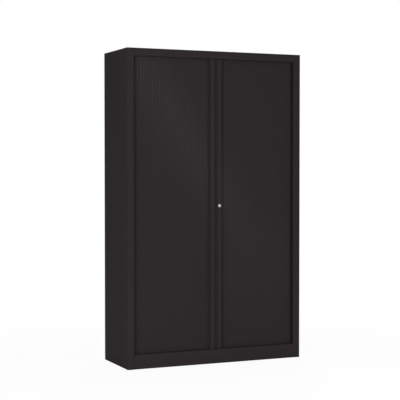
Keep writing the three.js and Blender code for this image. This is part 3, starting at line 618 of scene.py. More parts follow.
def effect(name, inputs, outputs):
    """A new shader node group with named inputs, each with its default, and named outputs."""
    tree = bpy.data.node_groups.new(name, "ShaderNodeTree")
    for label, kind, default in inputs:
        socket = tree.interface.new_socket(label, in_out="INPUT", socket_type=kind)
        if default is not None:
            socket.default_value = default
    for label, kind in outputs:
        tree.interface.new_socket(label, in_out="OUTPUT", socket_type=kind)
    return tree, tree.nodes.new("NodeGroupInput"), tree.nodes.new("NodeGroupOutput")


def add_node(tree, kind, values=None, **settings):
    """A new node with its settings and the values of its sockets."""
    made = tree.nodes.new(kind)
    for key, value in settings.items():
        setattr(made, key, value)
    for label, value in (values or {}).items():
        made.inputs[label].default_value = value
    return made


def maths(tree, operation, *values):
    """A maths node of one or two values, each a socket or a number."""
    made = tree.nodes.new("ShaderNodeMath")
    made.operation = operation
    for socket, value in zip(made.inputs, values):
        if isinstance(value, bpy.types.NodeSocket):
            tree.links.new(value, socket)
        else:
            socket.default_value = value
    return made.outputs[0]


def summed(tree, first, second, shares):
    """The sum of two values, each times its share."""
    parts = [maths(tree, "MULTIPLY", value, part) for value, part in zip((first, second), shares)]
    return maths(tree, "ADD", *parts)


def noise(tree, vector, scale, detail, roughness=0.5):
    """A noise texture, whose vector and scale are sockets."""
    made = add_node(tree, "ShaderNodeTexNoise", {"Detail": detail, "Roughness": roughness})
    tree.links.new(vector, made.inputs["Vector"])
    tree.links.new(scale, made.inputs["Scale"])
    return made.outputs["Fac"]


VECTOR_IN = ("Vector", "NodeSocketVector", None)
TEXTURE_OUT = (("Height", "NodeSocketFloat"), ("Tone", "NodeSocketFloat"))


def new_texture(name, scale):
    """A new texture group: its tree, its vector, its scale and its two results."""
    tree, given, result = effect(name, [VECTOR_IN, ("Scale", "NodeSocketFloat", scale)], TEXTURE_OUT)
    return tree, given.outputs["Vector"], given.outputs["Scale"], result.inputs


def put_out(tree, results, height, tone):
    """Links a texture group's height and tone to its results."""
    tree.links.new(height, results["Height"])
    tree.links.new(tone, results["Tone"])


def peel_texture():
    """Powder coat: a fine rounded texture with a finer one on it, which also gives its tone."""
    tree, vector, scale, results = new_texture("Orange peel", 700.0)
    coarse = noise(tree, vector, scale, detail=1.0)
    fine = noise(tree, vector, maths(tree, "MULTIPLY", scale, PEEL_FINER), detail=2.0)
    put_out(tree, results, summed(tree, coarse, fine, PEEL_SHARES), fine)
    return tree


def drawn_texture():
    """Extruded plastic: fine lines, from a noise that is drawn out along Z, and pores among them."""
    tree, vector, scale, results = new_texture("Drawn lines", 900.0)
    stretched = add_node(tree, "ShaderNodeVectorMath", operation="MULTIPLY")
    stretched.inputs[1].default_value = (1.0, 1.0, DRAWN_OUT_SHARE)
    tree.links.new(vector, stretched.inputs[0])
    lines = noise(tree, stretched.outputs[0], scale, detail=2.0, roughness=0.6)
    pores = noise(tree, vector, maths(tree, "MULTIPLY", scale, DRAWN_FINER), detail=1.0)
    put_out(tree, results, summed(tree, lines, pores, DRAWN_SHARES), lines)
    return tree


def cast_texture():
    """Moulded plastic and rubber: a fine even grain."""
    tree, vector, scale, results = new_texture("Moulded grain", 1500.0)
    grain = noise(tree, vector, scale, detail=3.0)
    put_out(tree, results, grain, grain)
    return tree


def plated_texture():
    """Plated steel: cells of slightly different brightness under a fine grain."""
    tree, vector, scale, results = new_texture("Plating", 260.0)
    cells = add_node(tree, "ShaderNodeTexVoronoi", feature="SMOOTH_F1")
    tree.links.new(vector, cells.inputs["Vector"])
    tree.links.new(scale, cells.inputs["Scale"])
    grain = noise(tree, vector, maths(tree, "MULTIPLY", scale, PLATED_FINER), detail=2.0)
    put_out(tree, results, grain, summed(tree, cells.outputs["Distance"], grain, PLATED_SHARES))
    return tree


def lathe_texture():
    """Turned metal: rings round the Y axis, from a noise of the radius sqrt(x^2 + z^2) alone."""
    tree, vector, scale, results = new_texture("Turned rings", 1400.0)
    split = tree.nodes.new("ShaderNodeSeparateXYZ")
    tree.links.new(vector, split.inputs[0])
    squares = [maths(tree, "MULTIPLY", split.outputs[axis], split.outputs[axis]) for axis in "XZ"]
    radius = tree.nodes.new("ShaderNodeCombineXYZ")
    tree.links.new(maths(tree, "SQRT", maths(tree, "ADD", *squares)), radius.inputs["X"])
    rings = noise(tree, radius.outputs[0], scale, detail=3.0, roughness=0.7)
    put_out(tree, results, rings, rings)
    return tree


def handling_marks():
    """Where hands and cloths have been: soft patches, as a mask from zero to one."""
    tree, given, result = effect(
        "Handling", [VECTOR_IN, ("Scale", "NodeSocketFloat", 2.4)], [("Mask", "NodeSocketFloat")]
    )
    patches = noise(tree, given.outputs["Vector"], given.outputs["Scale"], detail=5.0, roughness=0.62)
    levels = {"From Min": HANDLED_FROM, "From Max": HANDLED_TO}
    ramp = add_node(tree, "ShaderNodeMapRange", levels, clamp=True)
    tree.links.new(patches, ramp.inputs["Value"])
    tree.links.new(ramp.outputs[0], result.inputs["Mask"])
    return tree


def group_named(name, build):
    """The node group of that name, built the first time that it is asked for."""
    return bpy.data.node_groups.get(name) or build()


def finish(name, base, roughness, texture, scale, relief, metallic=0.0, level=0.5, contrast=0.08,
           marks=0.05, centre=(0.0, 0.0, 0.0)):
    """A material of one base colour, whose shade follows a texture's tone, whose roughness follows
    the handling marks and whose normal follows the texture's height, in metres of relief."""
    found = bpy.data.materials.get(name)
    if found:
        return found
    material = bpy.data.materials.new(name)
    material.use_nodes = True
    tree = material.node_tree
    shader = tree.nodes["Principled BSDF"]
    shader.inputs["Metallic"].default_value = metallic
    shader.inputs["Specular IOR Level"].default_value = level
    place = tree.nodes.new("ShaderNodeTexCoord")
    centred = add_node(tree, "ShaderNodeMapping", {"Location": tuple(-value for value in centre)})
    tree.links.new(place.outputs["Object"], centred.inputs["Vector"])
    pattern = add_node(tree, "ShaderNodeGroup", node_tree=group_named(*texture))
    pattern.inputs["Scale"].default_value = scale
    handled = add_node(tree, "ShaderNodeGroup", node_tree=group_named("Handling", handling_marks))
    for used in (pattern, handled):
        tree.links.new(centred.outputs[0], used.inputs["Vector"])
    shades = add_node(tree, "ShaderNodeMix", data_type="RGBA")
    shades.inputs["A"].default_value = (*(value * (1 - contrast) for value in base), 1.0)
    shades.inputs["B"].default_value = (*(min(1.0, value * (1 + contrast)) for value in base), 1.0)
    tree.links.new(pattern.outputs["Tone"], shades.inputs["Factor"])
    tree.links.new(shades.outputs["Result"], shader.inputs["Base Color"])
    gloss = add_node(
        tree, "ShaderNodeMapRange", {"To Min": roughness - marks, "To Max": roughness + marks}
    )
    tree.links.new(handled.outputs["Mask"], gloss.inputs["Value"])
    tree.links.new(gloss.outputs[0], shader.inputs["Roughness"])
    bump = add_node(tree, "ShaderNodeBump", {"Strength": 1.0, "Distance": relief})
    tree.links.new(pattern.outputs["Height"], bump.inputs["Height"])
    tree.links.new(bump.outputs[0], shader.inputs["Normal"])
    return material


PEEL = ("Orange peel", peel_texture)
DRAWN = ("Drawn lines", drawn_texture)
CAST = ("Moulded grain", cast_texture)
PLATED = ("Plating", plated_texture)
TURNED = ("Turned rings", lathe_texture)


def finishes():
    """The colours and sheens that the panel shows."""
    return bpy.context.scene.cabinet_finishes


def powder_coat():
    """Near-black powder coat, with a soft orange peel."""
    look = finishes()
    return finish("coat_finish", look.coat, look.coat_roughness, PEEL, scale=650.0, relief=0.00003,
                  level=look.coat_level)


def slat_plastic():
    """Extruded slats: near-black with a silky sheen."""
    look = finishes()
    return finish("slat_finish", look.slats, look.slat_roughness, DRAWN, scale=700.0, relief=0.000015,
                  level=look.slat_level, contrast=0.03, marks=0.03)


def handle_plastic():
    """Extruded handles, a little duller than the slats."""
    look = finishes()
    return finish("handle_finish", look.handles, look.handle_roughness, DRAWN, scale=1100.0,
                  relief=0.000012, level=look.handle_level, contrast=0.03, marks=0.03)


def strip_rubber():
    """The meeting strips' dull rubber."""
    look = finishes()
    return finish("strip_finish", look.rubber, look.strip_roughness, CAST, scale=1200.0,
                  relief=0.00003, level=look.strip_level)


def black_plastic():
    """Moulded tracks, caps and pads."""
    look = finishes()
    return finish("black_finish", look.black, look.black_roughness, CAST, scale=1600.0,
                  relief=0.00002, level=look.black_level)


def zinc_plate():
    """Bright zinc on clips, feet and fittings."""
    look = finishes()
    return finish("zinc_finish", look.zinc, look.zinc_roughness, PLATED, scale=260.0,
                  relief=0.000008, metallic=1.0, contrast=0.16)


def nickel_plate():
    """Satin nickel, with rings round the lock's axis."""
    look = finishes()
    return finish("nickel_finish", look.nickel, look.nickel_roughness, TURNED, scale=1500.0,
                  relief=0.000006, metallic=1.0, contrast=0.1, centre=middle_of("lock_core"))


def dress(material, names):
    """Gives CAD nodes their material."""
    for name in names:
        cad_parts[name].material_slots[0].material = material


# The case


def case_edges():
    """The cabinet's half width, and how far from its middle the stiles begin."""
    low, high = span("right_side_panel")
    return high[0], low[0]


def opening_heights():
    """The bottom and the top of the opening for the doors."""
    return span("plinth")[1][2], span("top_panel")[0][2]


def side_panel(sizes, word, side):
    """One sheet folded into the rear flange, the side, the stile and its return. Only the side
    itself reaches up past the top sheet's underside."""
    node = f"{word}_side_panel"
    low, high = span(node)
    half_width, stile_edge = case_edges()
    sheet, half = sizes.case_sheet, sizes.case_sheet / 2
    corners = [
        (half_width - sizes.rear_flange, high[1] - half),
        (half_width - half, high[1] - half),
        (half_width - half, low[1] + half),
        (stile_edge + half, low[1] + half),
        (stile_edge + half, low[1] + sizes.stile_return),
    ]
    welds = weld_places(low[2], high[2], sizes)
    underside = high[2] - sheet - sizes.seam
    stations = np.unique(np.concatenate([[low[2], underside, high[2]], gathered(welds, sizes)]))
    weld_line = sizes.rear_flange / 2
    points, normals, outer, inner = folded_skins(
        corners, sheet, sizes.bend_radius, stations, PLAN, gathered(weld_line, sizes)
    )
    marks = weld_marks(along(points), stations, weld_line, welds, sizes)
    outer[..., :2] -= normals[:, None] * marks[..., None]
    kept = np.ones(marks[1:, 1:].shape, bool)
    kept[:, -1] = middles(points[:, 0]) > half_width - sheet
    skin = Skin(side)
    skin.sheet(outer, inner, kept)
    return painted(skin, node)


def top_panel(sizes):
    """One sheet folded into the rear flange, the top, the rail and its return. The flanges stop
    short of the side panels' stiles and rear flanges, and the top runs on over them."""
    low, high = span("top_panel")
    half_width, stile_edge = case_edges()
    sheet, half = sizes.case_sheet, sizes.case_sheet / 2
    track_front = span("right_upper_track")[0][1]
    corners = [
        (high[1] - half, high[2] - sizes.rear_flange),
        (high[1] - half, high[2] - half),
        (low[1] + half, high[2] - half),
        (low[1] + half, low[2] + half),
        (track_front - sizes.seam, low[2] + half),
    ]
    rail_end = stile_edge - sizes.seam
    flange_end = half_width - sizes.rear_flange - sizes.seam
    welds = weld_places(-flange_end, flange_end, sizes)
    ends = np.array([rail_end, flange_end, high[0]])
    stations = np.unique(np.concatenate([-ends, ends, gathered(welds, sizes)]))
    weld_line = sizes.rear_flange / 2
    points, normals, inner, outer = folded_skins(
        corners, sheet, sizes.bend_radius, stations, SIDE_VIEW, gathered(weld_line, sizes)
    )
    marks = weld_marks(along(points), stations, weld_line, welds, sizes)
    outer[..., 1:] += normals[:, None] * marks[..., None]
    across = np.abs(middles(stations))[None, :]
    depth, height = middles(points[:, 0])[:, None], middles(points[:, 1])[:, None]
    kept = (height > high[2] - sheet) | ((depth < 0) & (across < rail_end))
    kept |= (depth > 0) & (across < flange_end)
    skin = Skin()
    skin.sheet(outer, inner, kept)
    return painted(skin, "top_panel")


def plinth(sizes):
    """One sheet folded into the foot flange, the face and the ledge below the doors, and a tab
    behind each end of the face, which closes the seam to the stile."""
    low, high = span("plinth")
    sheet, half = sizes.case_sheet, sizes.case_sheet / 2
    corners = [
        (low[1] + sizes.plinth_flange, low[2] + half),
        (low[1] + half, low[2] + half),
        (low[1] + half, high[2] - half),
        (high[1], high[2] - half),
    ]
    stations = (low[0], high[0])
    _, _, outer, inner = folded_skins(corners, sheet, sizes.bend_radius, stations, SIDE_VIEW)
    skin = Skin()
    skin.sheet(outer, inner)
    front, back = low[1] + sheet, low[1] + sheet + sizes.plinth_tab
    bottom, top = low[2] + 2 * sheet, high[2] - 2 * sheet
    for left, right in ((low[0], low[0] + sheet), (high[0] - sheet, high[0])):
        tab = [(left, front), (right, front), (right, back), (left, back)]
        eased_bar(skin, tab, sizes.tab_edge, bottom, top, sizes.tab_edge, PLAN)
    return painted(skin, "plinth")


def outer_back(sizes):
    """A thin flat sheet that waves a little: it lies in by waviness x sin(pi x u) x sin(pi x v) x
    (2 + sin(a u + b v) + sin(c v - d u)) / 4, where u and v run from zero to one across and up it,
    and a, b, c and d say how far the two waves turn."""
    low, high = span("outer_back_panel")
    steps = np.linspace(0, 1, BACK_DIVISIONS)
    u, v = np.meshgrid(steps, steps, indexing="ij")
    a, b, c, d = BACK_WAVES
    waves = np.sin(a * u + b * v) + np.sin(c * v - d * u)
    lies_in = sizes.back_waviness * np.sin(math.pi * u) * np.sin(math.pi * v) * (2 + waves) / 4
    x = low[0] + u * (high[0] - low[0])
    z = low[2] + v * (high[2] - low[2])
    rear = np.dstack([x, high[1] - lies_in, z])
    skin = Skin()
    skin.sheet(rear, rear - [0, sizes.back_sheet, 0])
    return painted(skin, "outer_back_panel")


# The inside


def slot_heights(inside):
    """The bottoms and tops of the slots: a slot's top lies every bay / slots per bay."""
    bottom, top = opening_heights()
    count = inside.slots_per_bay * (len(SHELVES) + 1)
    tops = bottom + (top - bottom) * np.arange(1, count) / count
    return tops - inside.slot_height, tops


def inner_side(sizes, inside, word, side):
    """A sheet with a flange at its front and rear, pierced by two columns of slots."""
    node = f"{word}_inner_side"
    low, high = span(node)
    near, far = near_and_far(low, high)
    half = sizes.liner_sheet / 2
    front, rear = low[1] + half, high[1] - half
    corners = [(far, front), (near + half, front), (near + half, rear), (far, rear)]
    points, _ = turned(corners, sizes.bend_radius, BEND_STEPS)
    columns = np.array([low[1] + inside.slot_inset, high[1] - inside.slot_inset])
    edges = (columns[:, None] + np.array([-0.5, 0.5]) * inside.slot_width).reshape(-1)
    places = np.interp(edges, points[:, 1], along(points))
    bottoms, tops = slot_heights(inside)
    stations = np.unique(np.concatenate([[low[2], high[2]], bottoms, tops]))
    points, _, outer, inner = folded_skins(
        corners, sizes.liner_sheet, sizes.bend_radius, stations, PLAN, places
    )
    across, height = middles(points[:, 1])[:, None], middles(stations)[:, None]
    in_column = (np.abs(across - columns) < inside.slot_width / 2).any(axis=1)
    on_face = middles(points[:, 0]) < near + sizes.liner_sheet
    in_slot = ((height > bottoms) & (height < tops)).any(axis=1)
    skin = Skin(side)
    skin.sheet(outer, inner, ~((in_column & on_face)[:, None] & in_slot[None, :]))
    return painted(skin, node)


def inner_back(sizes):
    """A sheet with a flange to the rear at its two sides."""
    low, high = span("inner_back_panel")
    half = sizes.liner_sheet / 2
    left_end, right_end, front = low[0] + half, high[0] - half, low[1] + half
    corners = [(left_end, high[1]), (left_end, front), (right_end, front), (right_end, high[1])]
    _, _, left, right = folded_skins(
        corners, sizes.liner_sheet, sizes.bend_radius, (low[2], high[2]), PLAN
    )
    skin = Skin()
    skin.sheet(left, right)
    return painted(skin, "inner_back_panel")


# The doors


def curtain_way(sizes, word):
    """The way that a curtain runs, seen from above, on the right-hand side.

    It is straight, then turns by a quarter circle, then is straight again. The function returns
    where it starts, its length, and a function that places a distance along it and an offset out
    of the case: the place is (near + straight part + R sin(angle), middle + R (1 - cos(angle)) +
    tail), and the offset goes along (sin(angle), -cos(angle)).
    """
    low, high = span(f"{word}_curtain")
    near, far = near_and_far(low, high)
    half, radius = sizes.slat_thickness / 2, sizes.corner_radius
    straight = far - half - radius - near
    arc = radius * math.pi / 2
    tail = high[1] - (low[1] + half + radius)

    def place(distance, offset):
        angle = np.clip((distance - straight) / radius, 0, math.pi / 2)
        x = near + np.minimum(distance, straight) + radius * np.sin(angle)
        y = low[1] + half + radius * (1 - np.cos(angle)) + np.maximum(distance - straight - arc, 0)
        return np.stack([x + offset * np.sin(angle), y - offset * np.cos(angle)], axis=-1)

    return near, straight + arc + tail, place


def slat_front(sizes, pitch):
    """The front of one slat, from groove to groove, as distance and offset.

    Its shoulders are quarter ellipses, width x (1 - sin(t)) and depth x cos(t). Between them the
    face falls back by crown x (2 share - 1)^2, where share runs from zero to one across it.
    """
    face = sizes.slat_thickness / 2
    wide, deep = (sizes.groove_width - sizes.groove_bottom) / 2, sizes.groove_depth - sizes.crown
    angle = np.linspace(math.pi / 2, 0, SHOULDER_STEPS)
    shoulder = np.stack([
        sizes.groove_bottom / 2 + wide * (1 - np.sin(angle)),
        face - sizes.groove_depth + deep * np.cos(angle),
    ], axis=1)
    across = np.linspace(0, 1, FACE_STEPS)[1:-1]
    crown = np.stack([
        sizes.groove_width / 2 + across * (pitch - sizes.groove_width),
        face - sizes.crown * (2 * across - 1) ** 2,
    ], axis=1)
    other = np.stack([pitch - shoulder[::-1, 0], shoulder[::-1, 1]], axis=1)
    return np.concatenate([shoulder, crown, other])


def slat_back(sizes, pitch):
    """The back of one slat: half a slit, the pocket between its two walls, and half a slit."""
    face = sizes.slat_thickness / 2
    slit, narrow = sizes.slit / 2, sizes.draft / 2
    slit_bottom = face - sizes.groove_depth - sizes.hinge
    pocket = face - sizes.face_wall
    half = [
        (slit - narrow, slit_bottom), (slit, -face), (sizes.side_wall, -face),
        (sizes.side_wall + sizes.draft, pocket), (pitch / 2, pocket),
    ]
    other = [(pitch - distance, offset) for distance, offset in half[-2::-1]]
    return np.array(half + other)


def slats(skin, sizes, word, first, last):
    """Adds the slats from one number to another. The outline goes along their fronts and back
    along their backs, and each end is the cut through a hinge."""
    _, total, place = curtain_way(sizes, word)
    bottom, top = span(f"{word}_lower_track")[1][2], span(f"{word}_upper_track")[0][2]
    pitch = total / sizes.slat_count
    starts = np.arange(first, last)[:, None] * pitch
    edges = []
    for edge in (slat_front(sizes, pitch), slat_back(sizes, pitch)):
        distances = (starts + edge[:, 0]).reshape(-1)
        offsets = np.broadcast_to(edge[:, 1], (last - first, len(edge))).reshape(-1)
        ends = np.array([first, last]) * pitch
        edges.append(np.stack([
            np.concatenate([ends[:1], distances, ends[1:]]),
            np.concatenate([offsets[:1], offsets, offsets[-1:]]),
        ], axis=1))
    outline = np.concatenate([edges[0], edges[1][::-1]])
    section = place(outline[:, 0], outline[:, 1])
    skin.tube(carried(section, (bottom + sizes.track_gap, top - sizes.track_gap), PLAN))


def curtain(sizes, word, side):
    """The first slat is a piece of its own and the other slats are another, both hung on the door. They
    are drawn between the tracks, without the ends that run in the grooves, so they meet no groove's wall
    at the corner."""
    near, total, _ = curtain_way(sizes, word)
    node, body = f"{word}_curtain", f"{word}_door"
    lead = Skin(side)
    slats(lead, sizes, word, 0, 1)
    lead.piece(f"{node}_first_slat", slat_plastic(), body, "slat_plastic", node)
    rest = Skin(side)
    slats(rest, sizes, word, 1, sizes.slat_count)
    made = rest.piece(f"{node}_slats", slat_plastic(), body, "slat_plastic", node)
    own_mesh(made)
    return made


def handle_corners(sizes, slat_thickness, word):
    """The corners of a handle seen from above, on the right-hand side, and their radii."""
    low, high = span(f"{word}_handle")
    near, far = near_and_far(low, high)
    ridge = near + sizes.ridge_width
    front, shoulder, back = low[1], high[1] - slat_thickness, high[1]
    corners = [
        (near, back), (near, front), (ridge, front), (ridge, shoulder), (far, shoulder), (far, back),
    ]
    small, large = sizes.small_corner, sizes.ridge_corner
    return corners, [small, large, large, small, small, small]


def block_edge(rows, columns):
    """The grid lines' crossings once round the edge of a block of them."""
    first, last = rows[0], rows[-1]
    return np.concatenate([
        [(row, columns[0]) for row in rows[:-1]],
        [(last, column) for column in columns[:-1]],
        [(row, columns[-1]) for row in rows[:0:-1]],
        [(first, column) for column in columns[:0:-1]],
    ])


def between(first, second, places, axes):
    """A band of faces between two flat loops, each at its place along the third axis."""
    loops = np.stack([np.vstack([loop, loop[:1]]) for loop in (first, second)])
    return placed(loops[..., 0], loops[..., 1], np.array(places)[:, None], axes)


def hook_window(lock, handles, word):
    """The slot in a handle's inner wall for the hook: its front and rear, and its two ends.

    The hook's tip sweeps a circle of radius hypot(length, barb), so the slot reaches down by
    sqrt(radius^2 - reach^2) and a clearance, where reach goes from the lock's axis to the wall's
    near face.
    """
    low, high = span("lock_hook")
    centre = middle_of("lock_core")
    near, _ = near_and_far(*span(f"{word}_handle"))
    reach = centre[0] + near if word == "left" else centre[0] - near - handles.wall
    sweep = math.hypot(centre[2] - low[2], centre[0] - low[0])
    gap = lock.hook_clearance
    drop = math.sqrt(sweep**2 - reach**2) + gap
    return (low[1] - gap, high[1] + gap), (centre[2] - drop, centre[2] + lock.hook_arm / 2 + gap)


def handle(handles, curtains, lock, word, side):
    """A hollow profile: an outer and an inner skin along Z, with the hook's slot through its inner
    wall and, in the right handle, the lock's bore through its front wall.

    The bore is a band from the edge of a square block of the grid to the circle centre + radius x
    (direction to the edge).
    """
    node = f"{word}_handle"
    low, high = span(node)
    corners, radii = handle_corners(handles, curtains.slat_thickness, word)
    near, ridge = corners[0][0], corners[2][0]
    wall = handles.wall
    left, right, front, back = near + wall, ridge - wall, low[1] + wall, high[1] - wall
    hollow = [(left, back), (left, front), (right, front), (right, back)]
    depths, heights = hook_window(lock, handles, word)
    centre = middle_of("lock_core")
    bore = lock.barrel_radius + lock.fit
    block = np.linspace(-1, 1, BORE_DIVISIONS + 1) * (bore + handles.small_corner)
    bored = word == "right"
    across = centre[0] + block if bored else np.empty(0)
    stations = [[low[2], high[2]], heights, centre[2] + block if bored else np.empty(0)]
    stations = np.unique(np.round(np.concatenate(stations), PLACE_DIGITS))
    height = middles(stations)
    in_slot = (height > heights[0]) & (height < heights[1])
    in_bore = np.abs(height - centre[2]) < block[-1]
    skin = Skin(side)
    arc = HANDLE_STEPS + 1
    loops = []
    for loop_corners, loop_radii in ((corners, radii), (hollow, handles.small_corner)):
        points, _ = turned(loop_corners, loop_radii, HANDLE_STEPS, closed=True)
        face = loop_corners[0][0], loop_corners[1][1]
        slot = np.array([(face[0], depths[1]), (face[0], depths[0])])
        bore_points = np.column_stack([across, np.full(len(across), face[1])])
        loop = np.vstack([points[:arc], slot, points[arc:2 * arc], bore_points, points[2 * arc:]])
        kept = np.ones((len(loop), len(height)), bool)
        kept[arc] = ~in_slot
        first = 2 * arc + len(slot)
        if bored:
            kept[first:first + BORE_DIVISIONS] = ~in_bore
        skin.grid(carried(np.vstack([loop, loop[:1]]), stations, PLAN), kept)
        loops.append(loop)
    slot_lines = stations[(stations >= heights[0] - WELD) & (stations <= heights[1] + WELD)]
    slot_edge = block_edge(np.array(depths), slot_lines)
    skin.grid(between(slot_edge, slot_edge, (near, near + wall), SIDE_VIEW))
    if bored:
        bore_lines = stations[np.abs(stations - centre[2]) <= block[-1] + WELD]
        edge = block_edge(across, bore_lines)
        circle = centre[[0, 2]] + bore * unit(edge - centre[[0, 2]])
        for place in (low[1], low[1] + wall):
            skin.grid(between(edge, circle, (place, place), FRONT_VIEW))
        skin.grid(between(circle, circle, (low[1], low[1] + wall), FRONT_VIEW))
    for end in (low[2], high[2]):
        skin.flat(*[np.column_stack([loop, np.full(len(loop), end)]) for loop in loops])
    return skin.piece(f"{node}_finished", handle_plastic(), f"{word}_door", "slat_plastic", node)


def handle_cap(handles, curtains, word, side, level):
    """An end cap with eased edges, and its tongue down or up into the track."""
    node = f"{word}_handle_{level}_cap"
    low, high = span(node)
    corners, radii = handle_corners(handles, curtains.slat_thickness, word)
    thickness = handles.cap_thickness
    plate = (high[2] - thickness, high[2]) if level == "lower" else (low[2], low[2] + thickness)
    tongue = (low[2], sum(plate) / 2) if level == "lower" else (sum(plate) / 2, high[2])
    skin = Skin(side)
    eased_bar(skin, corners, radii, *plate, handles.cap_edge, PLAN)
    ridge = corners[2][0]
    inner = ridge - handles.tongue_width
    middle = span(f"{word}_curtain")[0][1] + curtains.slat_thickness / 2
    front, back = middle - handles.tongue_thickness / 2, middle + handles.tongue_thickness / 2
    outline = [(inner, front), (ridge, front), (ridge, back), (inner, back)]
    eased_bar(skin, outline, handles.small_corner, *tongue, handles.cap_edge, PLAN)
    return skin.piece(f"{node}_finished", black_plastic(), f"{word}_door", "black_plastic", node)


def meeting_strip(handles, word, side):
    """A soft strip: a lip that reaches to the meeting line, and a foot against the ridge."""
    node = f"{word}_meeting_strip"
    low, high = span(node)
    near, seat = near_and_far(low, high)
    foot, lip = seat - handles.foot_thickness, low[1] + handles.lip_thickness
    corners = [
        (near, low[1]), (seat, low[1]), (seat, high[1]), (foot, high[1]), (foot, lip), (near, lip),
    ]
    skin = Skin(side)
    eased_bar(skin, corners, handles.strip_edge, low[2], high[2], handles.strip_edge, PLAN)
    return skin.piece(f"{node}_finished", strip_rubber(), f"{word}_door", "slat_plastic", node)


# The lock


def lock_housing(lock):
    """The flange and barrel in one turned piece: a closed profile of radius and depth, turned."""
    low, high = span("lock_housing")
    centre = middle_of("lock_housing")
    flange = (high[0] - low[0]) / 2
    bore = lock.core_radius + lock.fit
    rear = low[1] + lock.flange_thickness
    corners = [
        (bore, low[1]), (flange, low[1]), (flange, rear), (lock.barrel_radius, rear),
        (lock.barrel_radius, high[1]), (bore, high[1]),
    ]
    fine = lock.mouth_edge / 2
    radii = [lock.mouth_edge, lock.flange_edge, fine, fine, fine, fine]
    profile, _ = turned(corners, radii, EDGE_STEPS, closed=True)
    skin = Skin()
    skin.grid(revolved(np.vstack([profile, profile[:1]]), centre, FRONT_VIEW))
    return skin.piece("lock_housing_finished", nickel_plate(), "right_door", "nickel", "lock_housing")


def lock_core(lock):
    """The core with its keyway. Each row goes once round the axis: the rows start at the bottom of
    the screw's hole, come out round the tail and the core to its front, and go in from its circle
    to the keyway's outline, which is min(width / |cos(angle)|, height / |sin(angle)|) / 2 away.
    """
    low, high = span("lock_core")
    centre = middle_of("lock_core")
    screw_low, screw_high = span("lock_hook_screw")
    hole = (screw_high[0] - screw_low[0]) / 2 * SCREW_HOLE_SHARE
    shoulder = span("lock_housing")[1][1] + lock.fit
    corners = [
        (hole, screw_low[1] - lock.fit), (hole, high[1]), (lock.tail_radius, high[1]),
        (lock.tail_radius, shoulder), (lock.core_radius, shoulder), (lock.core_radius, low[1]),
        (lock.core_radius - lock.mouth_edge, low[1]),
    ]
    profile, _ = turned(corners, lock.mouth_edge / 2, EDGE_STEPS)
    half = np.array([lock.keyway_width, lock.keyway_height]) / 2
    corner = math.atan2(half[1], half[0])
    angle = np.concatenate([
        np.linspace(0, 2 * math.pi, ROUND_STEPS, endpoint=False),
        [corner, math.pi - corner, math.pi + corner, 2 * math.pi - corner],
    ])
    angle = np.append(np.sort(angle), 2 * math.pi)
    direction = np.stack([np.cos(angle), np.sin(angle)], axis=1)
    keyway = (half / np.maximum(np.abs(direction), WELD)).min(axis=1)[:, None] * direction
    rows = [(radius * direction, depth) for radius, depth in profile]
    rows += [(keyway, low[1]), (keyway, low[1] + lock.keyway_depth)]
    grid = np.empty((len(rows), len(angle), 3))
    for row, (loop, depth) in zip(grid, rows):
        row[:, [0, 2]] = centre[[0, 2]] + loop
        row[:, 1] = depth
    skin = Skin()
    skin.grid(grid)
    skin.flat(grid[0, :-1])
    skin.flat(grid[-1, :-1])
    return skin.piece("lock_core_finished", nickel_plate(), "lock_cylinder", "nickel", "lock_core")


# The feet


def foot(feet, end, word):
    """A pad turned from a profile, and a threaded stud whose radius is the stud's less the thread's
    depth x |2 share - 1|, where share is the part of height / pitch - angle / (2 pi) past its
    last whole number."""
    node = f"foot_{end}_{word}"
    body = f"{end}_{word}_foot"
    low, high = span(node)
    centre = middle_of(node)
    radius, stud_radius, edge = (high[0] - low[0]) / 2, feet.stud_radius, feet.pad_edge
    pad_top = low[2] + feet.pad_height
    collar = pad_top + edge
    corners = [
        (0, low[2]), (radius, low[2]), (radius, pad_top), (stud_radius, pad_top), (stud_radius, collar),
        (0, collar),
    ]
    profile, _ = turned(corners, [edge / 2, edge, edge / 2, edge / 4], EDGE_STEPS)
    pad = Skin()
    pad.grid(revolved(profile, centre, PLAN))
    pad.piece(f"{node}_pad", black_plastic(), body, "black_plastic", node)
    rows = math.ceil((high[2] - pad_top) / feet.thread_pitch) * THREAD_STEPS
    height = np.linspace(pad_top, high[2], rows)
    angle = np.linspace(0, 2 * math.pi, ROUND_STEPS + 1)
    turn = height[:, None] / feet.thread_pitch - angle[None, :] / (2 * math.pi)
    share_of_turn = turn - np.floor(turn)
    reach = stud_radius - feet.thread_depth * np.abs(2 * share_of_turn - 1)
    x, y = centre[0] + reach * np.cos(angle), centre[1] + reach * np.sin(angle)
    grid = placed(x, y, height[:, None], PLAN)
    stud = Skin()
    stud.grid(grid)
    stud.flat(grid[0, :-1])
    stud.flat(grid[-1, :-1])
    return stud.piece(f"{node}_stud", zinc_plate(), body, "zinced_steel", node)


# Floor, light and camera


def white_for_the_eye(tree):
    """A mask that is one for what the camera sees, straight, mirrored or through glass."""
    path = tree.nodes.new("ShaderNodeLightPath")
    seen = maths(tree, "MAXIMUM", path.outputs["Is Camera Ray"], path.outputs["Is Glossy Ray"])
    return maths(tree, "MAXIMUM", seen, path.outputs["Is Transmission Ray"])


